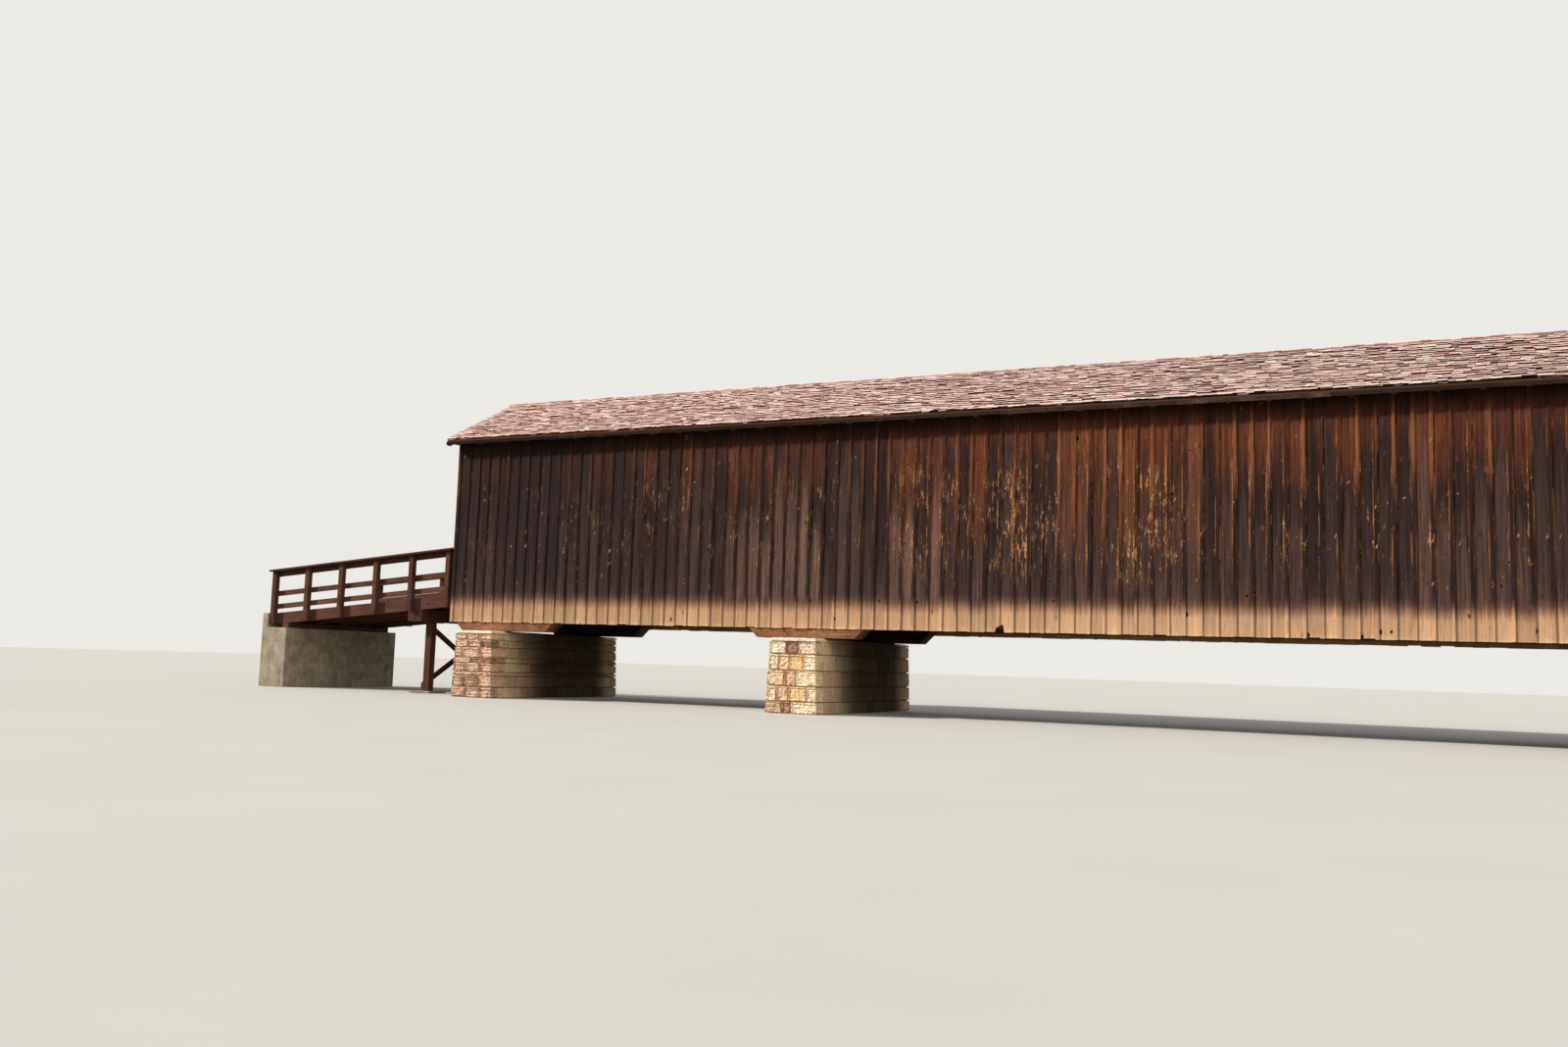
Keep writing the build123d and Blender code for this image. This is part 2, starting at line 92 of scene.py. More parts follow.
class Bench:
    """Lays out the nodes of one finish or one shared effect."""

    def __init__(self, tree):
        self.tree = tree

    def put(self, kind, inputs, **settings):
        made = self.tree.nodes.new("ShaderNode" + kind)
        for name, value in settings.items():
            setattr(made, name, value)
        for name, value in inputs.items():
            if isinstance(value, Value):
                self.tree.links.new(value.socket, made.inputs[name])
            else:
                made.inputs[name].default_value = value
        return Outputs(self, made)

    def math(self, how, *values):
        return self.put("Math", dict(enumerate(values)), operation=how)[0]

    def place(self):
        return self.put("TexCoord", {})["Object"]

    def note(self, name, form="Fac"):
        return self.put("Attribute", {}, attribute_name=name)[form]

    def parts(self, vector):
        return self.put("SeparateXYZ", {0: vector})

    def point(self, x, y, z):
        return self.put("CombineXYZ", {0: x, 1: y, 2: z})[0]

    def stretch(self, vector, factors):
        return self.put("VectorMath", {0: vector, 1: factors}, operation="MULTIPLY")[0]

    def cloud(self, at, scale, detail=3.0, rough=0.55, twist=0.0):
        return self.put("TexNoise", {"Vector": at, "Scale": scale, "Detail": detail, "Roughness": rough,
                                     "Distortion": twist})[0]

    def cells(self, at, scale, **settings):
        return self.put("TexVoronoi", {"Vector": at, "Scale": scale}, **settings)

    def ease(self, value, low, high, start=0.0, end=1.0):
        return self.put("MapRange", {0: value, 1: low, 2: high, 3: start, 4: end},
                        interpolation_type="SMOOTHSTEP")[0]

    def fade(self, value, low, high, end=0.0):
        """As ease, but from 1 down."""
        return self.ease(value, low, high, 1.0, end)

    def ramp(self, value, *stops):
        """A band of colours: each stop is a place on it, then a colour as in paint or a grey, 0 to 1."""
        made = self.put("ValToRGB", {0: value})
        band = made.node.color_ramp.elements
        while len(band) < len(stops):
            band.new(0.5)
        for spot, (where, *colour) in zip(band, stops):
            spot.position = where
            spot.color = paint(*colour) if len(colour) == 3 else (*colour * 3, 1)
        return made[0]

    def mix(self, amount, first, second):
        """Between two colours; one that is written out is as in paint."""
        first, second = (paint(*c) if isinstance(c, tuple) else c for c in (first, second))
        return self.put("Mix", {0: amount, 6: first, 7: second}, data_type="RGBA", clamp_factor=True)[2]

    def shade(self, colour, value):
        """The colour made lighter or darker by a value round 1."""
        plain = paint(*colour)[:3] if isinstance(colour, tuple) else colour
        return self.put("VectorMath", {0: plain, 3: value}, operation="SCALE")[0]

    def use(self, effect, **inputs):
        return self.put("Group", inputs, node_tree=effect)

    def give(self, **values):
        """Ends a shared effect with the values that it gives, by name."""
        for name in values:
            self.tree.interface.new_socket(name, in_out="OUTPUT", socket_type="NodeSocketFloat")
        end = self.tree.nodes.new("NodeGroupOutput")
        for name, value in values.items():
            self.tree.links.new(value.socket, end.inputs[name])

    def finish(self, colour, roughness, height, bump, depth, metal=0.0):
        """Wires the colour, roughness and relief to the one shader of this finish."""
        relief = self.put("Bump", {"Height": height, "Strength": bump, "Distance": depth})
        shader = self.put("BsdfPrincipled", {"Base Color": colour, "Roughness": roughness, "Metallic": metal,
                                             "Specular IOR Level": 0.12, "Normal": relief[0]})
        self.put("OutputMaterial", {"Surface": shader[0]})


def new_finish(name):
    material = bpy.data.materials.new(name)
    material.use_nodes = True
    material.node_tree.nodes.clear()
    return material, Bench(material.node_tree)


def new_effect(name, **takes):
    """A shared effect: a node group that takes points, given here as None, and numbers."""
    tree = bpy.data.node_groups.new(name, "ShaderNodeTree")
    for label, start in takes.items():
        kind = "Vector" if start is None else "Float"
        socket = tree.interface.new_socket(label, in_out="INPUT", socket_type="NodeSocket" + kind)
        if start is not None:
            socket.default_value = start
    bench = Bench(tree)
    return tree, bench, Outputs(bench, tree.nodes.new("NodeGroupInput"))


# Weather: soft patches, fine specks and dark runs, for every finish that has stood outside
weather, w, taken = new_effect("weather", Place=None, Size=1.0)
sized = w.put("VectorMath", {0: taken["Place"], 3: taken["Size"]}, operation="SCALE")[0]
w.give(Patches=w.cloud(sized, 6.0, 4, 0.6, 0.4), Specks=w.cloud(sized, 170.0, 2, 0.6),
       Runs=w.cloud(w.stretch(sized, (1, 1, 0.09)), 42.0, 3, 0.6, 0.3))


class Pile:
    """Loose parts gathered into one mesh; each point carries notes that the finish reads."""

    def __init__(self):
        self.points, self.faces, self.notes, self.count = [], [], {}, 0

    def add(self, points, faces, lay=None, **notes):
        """Adds one part. The note "lay" is the grain: metres along, across and through a timber."""
        points = np.asarray(points, float)
        self.points.append(points)
        self.faces += [[c + self.count for c in face] for face in faces]
        self.count += len(points)
        if lay is not None:
            notes = {"lay": lay, **notes}
        for name, value in notes.items():
            value = np.asarray(value, float)
            shape = (len(points),) + ((3,) if value.shape[-1:] == (3,) and value.ndim else ())
            self.notes.setdefault(name, []).append(np.broadcast_to(value, shape))

    def place(self, name, material, slot, node):
        mesh = bpy.data.meshes.new(name)
        mesh.from_pydata(np.concatenate(self.points).tolist(), [], self.faces)
        for key, values in self.notes.items():
            values = np.concatenate(values)
            vector = values.ndim == 2
            layer = mesh.attributes.new(key, "FLOAT_VECTOR" if vector else "FLOAT", "POINT")
            layer.data.foreach_set("vector" if vector else "value", values.ravel())
        skin = bmesh.new()
        skin.from_mesh(mesh)
        bmesh.ops.recalc_face_normals(skin, faces=skin.faces)
        skin.to_mesh(mesh)
        skin.free()
        mesh.materials.append(material)
        piece = bpy.data.objects.new(name, mesh)
        bpy.context.scene.collection.objects.link(piece)
        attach(piece, "root")
        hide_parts(node)


def cut_lines(length, step, edge):
    """Grid lines along one side of a block, with a line close to each worn edge."""
    count = max(1, round((length - 2 * edge) / step))
    return np.concatenate([[0], np.linspace(edge, length - edge, count + 1), [length]])


shells = {}


def shell(nx, ny, nz):
    """Which grid points and squares make the skin of a block of nx by ny by nz cells."""
    if (nx, ny, nz) not in shells:
        index, squares = {}, []

        def square(*corners):
            squares.append(tuple(index.setdefault(key, len(index)) for key in corners))

        for i in range(nx):
            for j in range(ny):
                for k in (0, nz):
                    square((i, j, k), (i + 1, j, k), (i + 1, j + 1, k), (i, j + 1, k))
            for j in range(nz):
                for k in (0, ny):
                    square((i, k, j), (i + 1, k, j), (i + 1, k, j + 1), (i, k, j + 1))
        for i in range(ny):
            for j in range(nz):
                for k in (0, nx):
                    square((k, i, j), (k, i + 1, j), (k, i + 1, j + 1), (k, i, j + 1))
        shells[nx, ny, nz] = (np.array(list(index)), squares)
    return shells[nx, ny, nz]


def block(size, steps, edge):
    """A block with rounded arrises from the corner (0, 0, 0): its points, squares and outward push."""
    lines = [cut_lines(length, step, edge) for length, step in zip(size, steps)]
    keys, squares = shell(*(len(line) - 1 for line in lines))
    points = np.stack([lines[a][keys[:, a]] for a in range(3)], 1)
    inner = np.clip(points, edge, np.array(size) - edge)
    push = points - inner
    push /= np.linalg.norm(push, axis=1)[:, None]
    return inner + push * edge, squares, push


def lumps(points, size):
    """Smooth random relief, -1 to 1, whose swells are about this size."""
    return np.array([noise.noise(Vector(p)) for p in points / size])


def lengths(start, end, draw, shortest):
    """Cuts a stretch into lengths as they are drawn; none is left shorter than shortest."""
    while start < end - 0.001:
        stop = start + draw()
        if end - stop < shortest:
            stop = end
        yield start, stop
        start = stop


chance = np.random.default_rng(11)
pier_low, pier_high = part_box("pier_2")
pier_top = pier_high.z
hx, hy = (pier_high.x - pier_low.x) / 2, pier_high.y     # half a pier's width and length
batter = 0.034                 # how far each long side leans in from foot to top
bed = 0.022                    # depth of the pale mortar wash that caps the courses
rim = [0, 0.012, 0.036]        # places on the wash's rim, in from the pier's edge,
rim_rise = [-0.008, 0.003, 0.012]  # and how far they stand above the pier's top
shim_x, shim_y = 0.229, 1.065  # the wash stops this far from the pier's centre, at the shims
joint = 0.0024                 # half a mortar joint
cheek = 0.13                   # depth of the blocks along the sides,
corner_deep = (0.17, 0.3)      # of the short and long blocks that take turns at the corners,
end_deep = 0.16                # and of those between them
core_in = 0.028                # how far the solid core stays inside the faces
# Bed lines and upright joints as they are seen on the two ends in the photograph,
# and two more piers cut the same way
coursing = {
    "pier_1": ([0, 0.125, 0.26, 0.305, 0.415, 0.475, 0.6, 0.6875, pier_top - bed],
               [(0.34, 0.7), (0.27, 0.66), (0.5,), (0.3, 0.68), (0.44,), (0.22, 0.66), (0.36, 0.7),
                (0.3, 0.62)]),
    "pier_2": ([0, 0.125, 0.2875, 0.455, 0.625, pier_top - bed],
               [(0.32, 0.5), (0.2, 0.44, 0.79), (0.34, 0.59), (0.22, 0.45, 0.74), (0.36, 0.62)]),
    "pier_3": ([0, 0.14, 0.295, 0.45, 0.61, pier_top - bed],
               [(0.3, 0.7), (0.25, 0.5, 0.74), (0.36, 0.66), (0.21, 0.52, 0.77), (0.4, 0.7)]),
    "pier_4": ([0, 0.13, 0.28, 0.44, 0.62, pier_top - bed],
               [(0.36, 0.62), (0.22, 0.49, 0.8), (0.3, 0.64), (0.26, 0.53, 0.76), (0.33, 0.68)]),
}
# Block colours by name, as a place on the finish's colour band
cream, buff, ochre, rust, rose, umber = 0.06, 0.27, 0.46, 0.62, 0.8, 1.0
near_end_hues = {
    "pier_1": [(rose, rose, rose), (rose, umber, rose), (rose, rose), (rose, rose, rose), (rose, umber),
               (rose, rose, rose), (rose, rose, umber), (rose, rose, rose)],
    "pier_2": [(rust, umber, cream), (cream, buff, ochre, cream), (buff, rust, cream),
               (cream, buff, ochre, cream), (cream, umber, cream)],
}


def lean_in(points, centre):
    """Leans straight-sided blocks in to the batter of the long sides, onto the pier's centre."""
    x = points[:, 0] * (1 - batter * points[:, 2] / pier_top / hx)
    return np.column_stack([x + centre, points[:, 1], points[:, 2]])


def rock_face(points, layered):
    """How far back each point of a quarry-faced stone is broken, in metres."""
    spot = points + chance.uniform(0, 50, 3)
    depth = 0.008 - 0.01 * lumps(spot, 0.1) + 0.018 * np.abs(lumps(spot, 0.055)) + 0.005 * lumps(spot, 0.021)
    level = (points[:, 2] + 0.016 * lumps(spot * (0.4, 0.4, 1), 0.09)) / chance.uniform(0.024, 0.044)
    return depth + (0.013 if layered else 0.006) * np.mod(level, 1.0) ** 1.5


def build_pier(name):
    """One pier. The note "stone" is tone, hue and kind: 0 a block, 0.5 the wash, 1 the core."""
    low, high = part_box(name)
    centre = (low.x + high.x) / 2
    beds, uprights = coursing[name]
    layered = name == "pier_1"
    end_hues = [cream, buff, rose, rose, umber] if layered else [cream, cream, buff, ochre, rust]
    side_spread = (0.16, 0.31) if layered else (0.2, 0.36)
    pile = Pile()

    def add_block(x0, x1, y0, y1, z0, z1, hue, rough):
        gap = np.array((-0.001, joint, joint / 2) if rough else (joint, joint, joint))
        corner = (x0, y0, z0) + gap
        steps = (0.015, 0.04, 0.0115) if rough else (0.06, 0.04, 0.035)
        points, squares, push = block((x1, y1, z1) - gap - corner, steps, 0.005)
        points += corner
        if rough:
            sink = rock_face(points, layered)
        else:
            sink = 0.0022 - 0.0022 * lumps(points + chance.uniform(0, 50), 0.06)
        points -= push * np.maximum(sink, 0.0005)[:, None]
        pile.add(lean_in(points, centre), squares, stone=(chance.uniform(), hue, 0.0))

    for c, (z0, z1, cuts) in enumerate(zip(beds, beds[1:], uprights)):
        reach = {}
        for end in (-1, 1):
            shares = cuts if end < 0 else [1 - share for share in reversed(cuts)]
            xs = [-hx, *(hx * (2 * share - 1) for share in shares), hx]
            for i, (x0, x1) in enumerate(zip(xs, xs[1:])):
                first, last = i == 0, i == len(xs) - 2
                long_corner = (c + i + (end > 0)) % 2
                deep = corner_deep[long_corner] + chance.uniform(-0.02, 0.03) if first or last else end_deep
                if first:
                    reach[-1, end] = deep
                if last:
                    reach[1, end] = deep
                hue = chance.choice(end_hues)
                if end < 0 and name in near_end_hues:
                    hue = near_end_hues[name][c][i]
                ys = (-hy, -hy + deep) if end < 0 else (hy - deep, hy)
                add_block(x0, x1, *ys, z0, z1, hue + chance.uniform(-0.05, 0.05), True)
        for side in (-1, 1):
            xs = (-hx, -hx + cheek) if side < 0 else (hx - cheek, hx)
            first, last = -hy + reach[side, -1], hy - reach[side, 1]
            for ys in lengths(first, last, lambda: chance.uniform(*side_spread), 0.15):
                hue = chance.choice([cream, buff, buff, rose, rose])
                add_block(*xs, *ys, z0, z1, hue + chance.uniform(-0.06, 0.06), False)
    core = (2 * (hx - core_in), 2 * (hy - core_in), pier_top - bed)
    points, squares, _ = block(core, (0.2, 0.3, 0.2), 0.004)
    pile.add(lean_in(points - (core[0] / 2, core[1] / 2, 0), centre), squares, stone=(0.5, 0.2, 1.0))
    # The wash slopes up from the edge and stops short of the shims
    across = [*(np.array(rim) - hx), -shim_x - 0.003, -shim_x + 0.003, *np.linspace(-0.2, 0, 5)]
    across = np.array(across + [-x for x in across[-2::-1]])
    along = [*(np.array(rim) - hy), *np.linspace(-hy + 0.06, -shim_y - 0.005, 6), -shim_y + 0.005,
             *np.linspace(-1, 0, 16)]
    along = np.array(along + [-y for y in along[-2::-1]])
    keys, squares = shell(len(across) - 1, len(along) - 1, 1)
    x, y = across[keys[:, 0]], along[keys[:, 1]]
    inward = np.minimum(hx - np.abs(x), hy - np.abs(y))
    raised = (np.abs(x) > shim_x) | (np.abs(y) > shim_y)
    ragged = 0.003 * lumps(np.column_stack([x, y, x * 0]) + centre, 0.06)
    z = np.where(raised, np.interp(inward, rim, rim_rise) + ragged, -0.0005)
    z = pier_top + np.where(keys[:, 2] == 0, -bed, z)
    inset = 1 - 0.004 * np.abs(lumps(np.column_stack([x, y, z]) * (1, 1, 3), 0.05))
    wash = np.column_stack([x * inset, y * (1 - (1 - inset) / 4), z])
    pile.add(lean_in(wash, centre), squares, stone=(0.8, 0.0, 0.5))
    pile.place(name + "_blocks", pier_stone, "pier_stone", name)


pier_stone, b = new_finish("pier_stone")
place = b.place()
tone, hue, kind = b.parts(b.note("stone", "Vector"))
aged = b.use(weather, Place=place, Size=1.0)
colour = b.ramp(hue, (0.0, 255, 238, 210), (0.16, 255, 230, 196), (0.3, 252, 220, 180), (0.46, 250, 212, 156),
                (0.62, 240, 200, 158), (0.8, 242, 207, 180), (1.0, 190, 148, 126))
colour = b.shade(colour, tone * 0.3 + 0.95)
grit = b.cloud(place, 60.0, 5, 0.75)
colour = b.shade(colour, grit * 1.5 + 0.24)
stain = b.ease(b.cloud(b.stretch(place, (1, 1, 1.8)), 15.0, 4, 0.65), 0.5, 0.66)
colour = b.mix(stain * 0.4, colour, (222, 158, 104))
pits = b.fade(b.cloud(b.stretch(place, (1, 1, 1.7)), 70.0, 3, 0.6, 1.2), 0.36, 0.43)
colour = b.mix(pits * 0.7, colour, (84, 58, 40))
lime = b.shade((232, 206, 168), grit * 0.6 + 0.68)
colour = b.mix(b.ease(kind, 0.7, 0.9), colour, lime)
# The long sides: darker as damp and as painted shade under the floor above, most in the middle
x, y, z = b.parts(place)
open_end = b.ease(abs(y), 1.32, 1.34)
painted_shade_under_floor = b.ease(y, -1.3, -0.2) * b.fade(y, 0.8, 1.34, 0.3)
# Near the open ends the sides are painted lighter and warmer, as painted light
painted_light_near_ends = b.mix(0.35, b.shade(colour, 1.08), (212, 164, 104))
damp_and_painted_shade = b.mix(painted_shade_under_floor, painted_light_near_ends, b.shade(b.mix(0.75, colour, (158, 126, 68)), 0.17))
damp_and_painted_shade = b.shade(damp_and_painted_shade, tone * 0.3 + 0.85)
# Painted shade in the mortar joints of the long sides
damp_and_painted_shade = b.mix(b.ease(kind, 0.7, 0.9), damp_and_painted_shade, b.shade(damp_and_painted_shade, 0.5))
facing = b.ease(abs(b.parts(b.put("NewGeometry", {})["Normal"])[0]), 0.5, 0.85)
damp_and_shade_here = b.math("MAXIMUM", facing, painted_shade_under_floor) * (1.0 - open_end)
colour = b.mix(damp_and_shade_here, colour, damp_and_painted_shade)
runs = b.ease(aged["Runs"], 0.52, 0.72)
colour = b.mix(runs * 0.3, colour, (96, 74, 52))
b.finish(colour, 0.93, grit + pits * -0.8, 1.0, 0.006)

for pier_name in coursing:
    build_pier(pier_name)

# ---- Bearing shims and bolsters ----
# Thin hardwood packing on the pier tops, and on it the bolsters: short heavy timbers
# with bevelled ends, in pairs, that carry the bottom chords over each pier.

# Grain: the rings, knots and drying checks of a timber, from its note "lay"
grain, g, taken = new_effect("grain", Lay=None, Rings=130.0, Knots=1.0)
along, across, through = g.parts(taken["Lay"])
torn = (g.cloud(taken["Lay"], 60.0, 2) - 0.5) * 0.16
knot_at = g.point(along * 5.0 + torn, across * 8.0, through * 8.0)
knot_cells = g.cells(knot_at, 1.0)
knot_size = g.parts(knot_cells["Color"])[0]
knot_here = g.ease(knot_size, 0.62, 0.68) * taken["Knots"]
near = knot_cells["Distance"] + torn
heart = g.fade(near - knot_size * 0.06, 0.03, 0.06)
swirl = g.fade(near, 0.05, 0.5) * 0.016
bent = g.point(along * 0.05, across + swirl, through + swirl)
bands = g.put("TexWave", {"Vector": bent, "Scale": taken["Rings"], "Distortion": 5.0, "Detail": 2.0,
                          "Detail Scale": 0.4}, wave_type="RINGS", rings_direction="X")[0]
crack = g.cloud(g.stretch(taken["Lay"], (0.035, 1, 1)), 46.0, 2, 0.5, 0.2)
fibre = g.cloud(g.stretch(taken["Lay"], (0.03, 1, 1)), 420.0, 3, 0.6)
g.give(Lines=bands, Knot=heart * knot_here, Rim=g.fade(near, 0.1, 0.2) * knot_here,
       Checks=g.fade(abs(crack - 0.5), 0.004, 0.011), Fibre=fibre)


def timber_finish(name, colours, knots=1.0, dirt=0.3, inner=None):
    """A weathered timber: a colour band from dark to light, knots, checks and dirt. Nearer
    the bridge's middle line than the two distances of inner it is painted darker as shade, if they are given."""
    material, b = new_finish(name)
    wood = b.use(grain, Lay=b.note("lay", "Vector"), Knots=knots)
    aged = b.use(weather, Place=b.place(), Size=1.0)
    level = b.note("tone") * 0.42 + wood["Lines"] * 0.16
    level = level + aged["Patches"] * 0.5 - 0.04
    colour = b.ramp(level, *[(i / (len(colours) - 1), *c) for i, c in enumerate(colours)])
    colour = b.shade(colour, wood["Fibre"] * 0.7 + 0.65)
    for mark, share, depth in ((wood["Rim"], 0.35, 0.62), (wood["Knot"], 0.7, 0.4),
                               (wood["Checks"], 0.75, 0.25), (b.ease(aged["Runs"], 0.5, 0.75), dirt, 0.5)):
        colour = b.mix(mark * share, colour, tuple(c * depth for c in colours[0]))
    # Painted shade towards the bridge's middle line, under the floor
    if inner:
        colour = b.shade(colour, b.ease(abs(b.parts(b.place())[1]), *inner, 0.22, 1.0))
    relief = wood["Fibre"] * 0.5 + wood["Lines"] * 0.35
    b.finish(colour, 0.82, relief - wood["Checks"] * 1.6, 0.6, 0.0025)
    return material


def axes_of(points):
    """The long axis of a loose timber and two axes square to it."""
    spread = points - points.mean(0)
    long = np.linalg.svd(spread, full_matrices=False)[2][0]
    if abs(long[np.abs(long).argmax()]) > 0.999:
        long = np.eye(3)[np.abs(long).argmax()]
    side = np.cross(long, (1, 0, 0) if abs(long[2]) > 0.9 else (0, 0, 1))
    side /= np.linalg.norm(side)
    return np.stack([long, side, np.cross(long, side)])


def cut_from(luck, loose=0.06):
    """Where in a log a timber is cut from, so that no two have the same grain."""
    return luck.uniform(0, 40), luck.uniform(-loose, loose), luck.uniform(-loose, loose)


def loose_solids(whole):
    """The separate solids of a mesh, each as its points in order."""
    waiting = set(whole.verts)
    while waiting:
        start = min(waiting, key=lambda v: v.index)
        group, reached = {start}, [start]
        while reached:
            for e in reached.pop().link_edges:
                for v in e.verts:
                    if v not in group:
                        group.add(v)
                        reached.append(v)
        waiting -= group
        yield sorted(group, key=lambda v: v.index)


def dress(node, name, material, slot, luck, edge, step, wander, arc_centre=None):
    """Rebuilds a CAD node's solids with worn arrises and hewn, slightly uneven faces. The
    grain of a timber that is sawn to an arc follows the arc."""
    pile = Pile()
    whole = bmesh.new()
    whole.from_mesh(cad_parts[node].data)
    bmesh.ops.remove_doubles(whole, verts=whole.verts, dist=1e-5)
    bmesh.ops.dissolve_limit(whole, angle_limit=math.radians(0.5), verts=whole.verts, edges=whole.edges)
    for solid in loose_solids(whole):
        timber = bmesh.new()
        twin = {v: timber.verts.new(v.co) for v in solid}
        for face in sorted({f for v in solid for f in v.link_faces}, key=lambda f: f.index):
            timber.faces.new([twin[v] for v in face.verts])
        axes = axes_of(np.array([v.co for v in solid]))
        if len(solid) == 8 and step:
            lead = Vector(axes[0])
            long = [e for e in timber.edges
                    if abs((e.verts[1].co - e.verts[0].co).normalized().dot(lead)) > 0.9]
            cuts = int(max(e.calc_length() for e in long) / step) if long else 0
            if cuts:
                bmesh.ops.subdivide_edges(timber, edges=long, cuts=cuts, use_grid_fill=True)
        timber.normal_update()
        sharp = [e for e in timber.edges if len(e.link_faces) == 2 and e.calc_face_angle(0) > 0.35]
        bmesh.ops.bevel(timber, geom=sharp, offset=edge, segments=1, affect="EDGES", clamp_overlap=True)
        timber.normal_update()
        timber.verts.index_update()
        points = np.array([v.co for v in timber.verts])
        if wander:
            hew = wander * (0.5 + 0.5 * lumps(points + luck.uniform(0, 60), 0.23))
            points = points - np.array([v.normal for v in timber.verts]) * hew[:, None]
        if arc_centre is None:
            lay = (points - points.mean(0)) @ axes.T + cut_from(luck, 0.07)
        else:
            off = points - arc_centre
            far = np.hypot(off[:, 0], off[:, 2])
            lay = np.column_stack([np.arctan2(off[:, 0], off[:, 2]) * far.mean() + luck.uniform(0, 40),
                                   far - far.mean() + luck.uniform(-0.05, 0.05), points[:, 1]])
        pile.add(points, [[v.index for v in f.verts] for f in timber.faces], lay, tone=luck.uniform())
        timber.free()
    whole.free()
    pile.place(name, material, slot, node)


chance = np.random.default_rng(23)
shim_timber = timber_finish("shim_timber", [(70, 52, 40), (110, 84, 62), (140, 110, 84)])
dress("bearing_shims", "bearing_shim_boards", shim_timber, "shim_timber", chance, edge=0.002, step=0.12,
      wander=0.001)
# The bolsters are painted darker towards the middle of the bridge, as shade under the floor
bolster_timber = timber_finish("bolster_timber", [(44, 25, 17), (92, 60, 40), (154, 108, 77), (214, 170, 132)],
                               dirt=0.35, inner=(0.84, 1.06))
dress("bolsters", "bolster_timbers", bolster_timber, "bolster_timber", chance, edge=0.005, step=0.15,
      wander=0.003)

# ---- Truss frame ----
# The hidden frame behind the siding: two leaves of sawn timber for each chord, posts and
# braces clasped between them, and segmental arches bolted to the posts of the main span.
chance = np.random.default_rng(31)
frame_timber = timber_finish("frame_timber", [(62, 46, 36), (98, 74, 56), (128, 98, 74), (146, 116, 90)],
                             dirt=0.25)
for node in ("bottom_chords", "truss_posts", "truss_braces", "top_chords"):
    dress(node, node.replace("truss_", "") + "_dressed", frame_timber, "frame_timber", chance, edge=0.0035,
          step=0.5, wander=0.002)
arch_low, arch_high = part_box("arches")
arch_half, arch_rise = arch_high.x, arch_high.z - arch_low.z
arch_radius = (arch_half ** 2 + arch_rise ** 2) / (2 * arch_rise)
dress("arches", "arches_dressed", frame_timber, "frame_timber", chance, edge=0.003, step=0, wander=0,
      arc_centre=(0, 0, arch_high.z - arch_radius))

# ---- Floor beams, tie beams, knee braces, rafters and ridge beam ----
# Cross timbers of the same sawn stock: floor beams under the deck, ties and knee braces
# that square the frame, and paired rafters notched over the top chords to a ridge beam.
for node in ("floor_beams", "tie_beams", "knee_braces", "rafters", "ridge_beam", "siding_nailers"):
    dress(node, node + "_dressed", frame_timber, "frame_timber", chance, edge=0.003, step=0.45, wander=0.0015)

# ---- Bridge deck ----
# Softwood planks laid lengthways on the floor beams, spiked at each, their ends meeting
# over beams in a staggered order.


def bar(origin, along, across, up, steps, edge, wander, luck):
    """A sawn bar or board from one corner and its three sides: its points, squares and grain."""
    sides = [np.array(side, float) for side in (along, across, up)]
    size = [np.linalg.norm(side) for side in sides]
    points, squares, push = block(size, steps, edge)
    points -= push * (wander * (0.5 + 0.5 * lumps(points + luck.uniform(0, 60), 0.11)))[:, None]
    lay = points - np.array(size) / 2 + cut_from(luck)
    return np.array(origin, float) + (points / size) @ np.stack(sides), squares, lay


chance = np.random.default_rng(41)
deck_timber = timber_finish("deck_timber", [(74, 60, 50), (112, 94, 78), (146, 126, 106), (168, 148, 126)],
                            dirt=0.2)
deck_low, deck_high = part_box("bridge_deck")
plank_rows, plank_gap = 12, 0.003
plank_pitch = (deck_high.y - deck_low.y) / plank_rows
first_beam, beam_pitch = -8.5, 0.53125
pile = Pile()
for row in range(plank_rows):
    x = deck_low.x
    stop = first_beam + beam_pitch * (2 + 3 * (row % 3))
    while x < deck_high.x - 0.01:
        x1 = stop if deck_high.x - stop >= 0.8 else deck_high.x
        deep = deck_high.z - deck_low.z - chance.uniform(0, 0.002)
        corner = (x + 0.001, deck_low.y + row * plank_pitch + plank_gap / 2, deck_low.z)
        pile.add(*bar(corner, (x1 - x - 0.002, 0, 0), (0, plank_pitch - plank_gap, 0), (0, 0, deep),
                      (0.4, 0.07, 0.05), 0.003, 0.001, chance), tone=chance.uniform())
        x, stop = x1, x1 + beam_pitch * (6 + row % 2)
pile.place("bridge_deck_planks", deck_timber, "deck_timber", "bridge_deck")

# ---- Siding ----
# Rough-sawn upright boards nailed to the rails, with a narrow batten over every joint.
# The feet have bleached where rain splashes on them, while the upper wall keeps its dark
# stain, burnt orange where sun and rain have scoured it. One foot is broken out.
batten_first, batten_pitch, batten_count = -9.083, 0.1524, 120
batten_wide, board_thick = 0.028, 0.0125
wall_out, wall_in = 1.1, 1.075
foot_z, head_z = 0.905, 3.12
wall_end = 9.105
chip_x = -2.045
chip_across, chip_up = (-0.062, -0.05, 0.026, 0.034), (0.905, 0.947, 0.991, 0.905)
chip_batten, chip_cut = -2.0726, 0.06                  # the batten that is broken short there


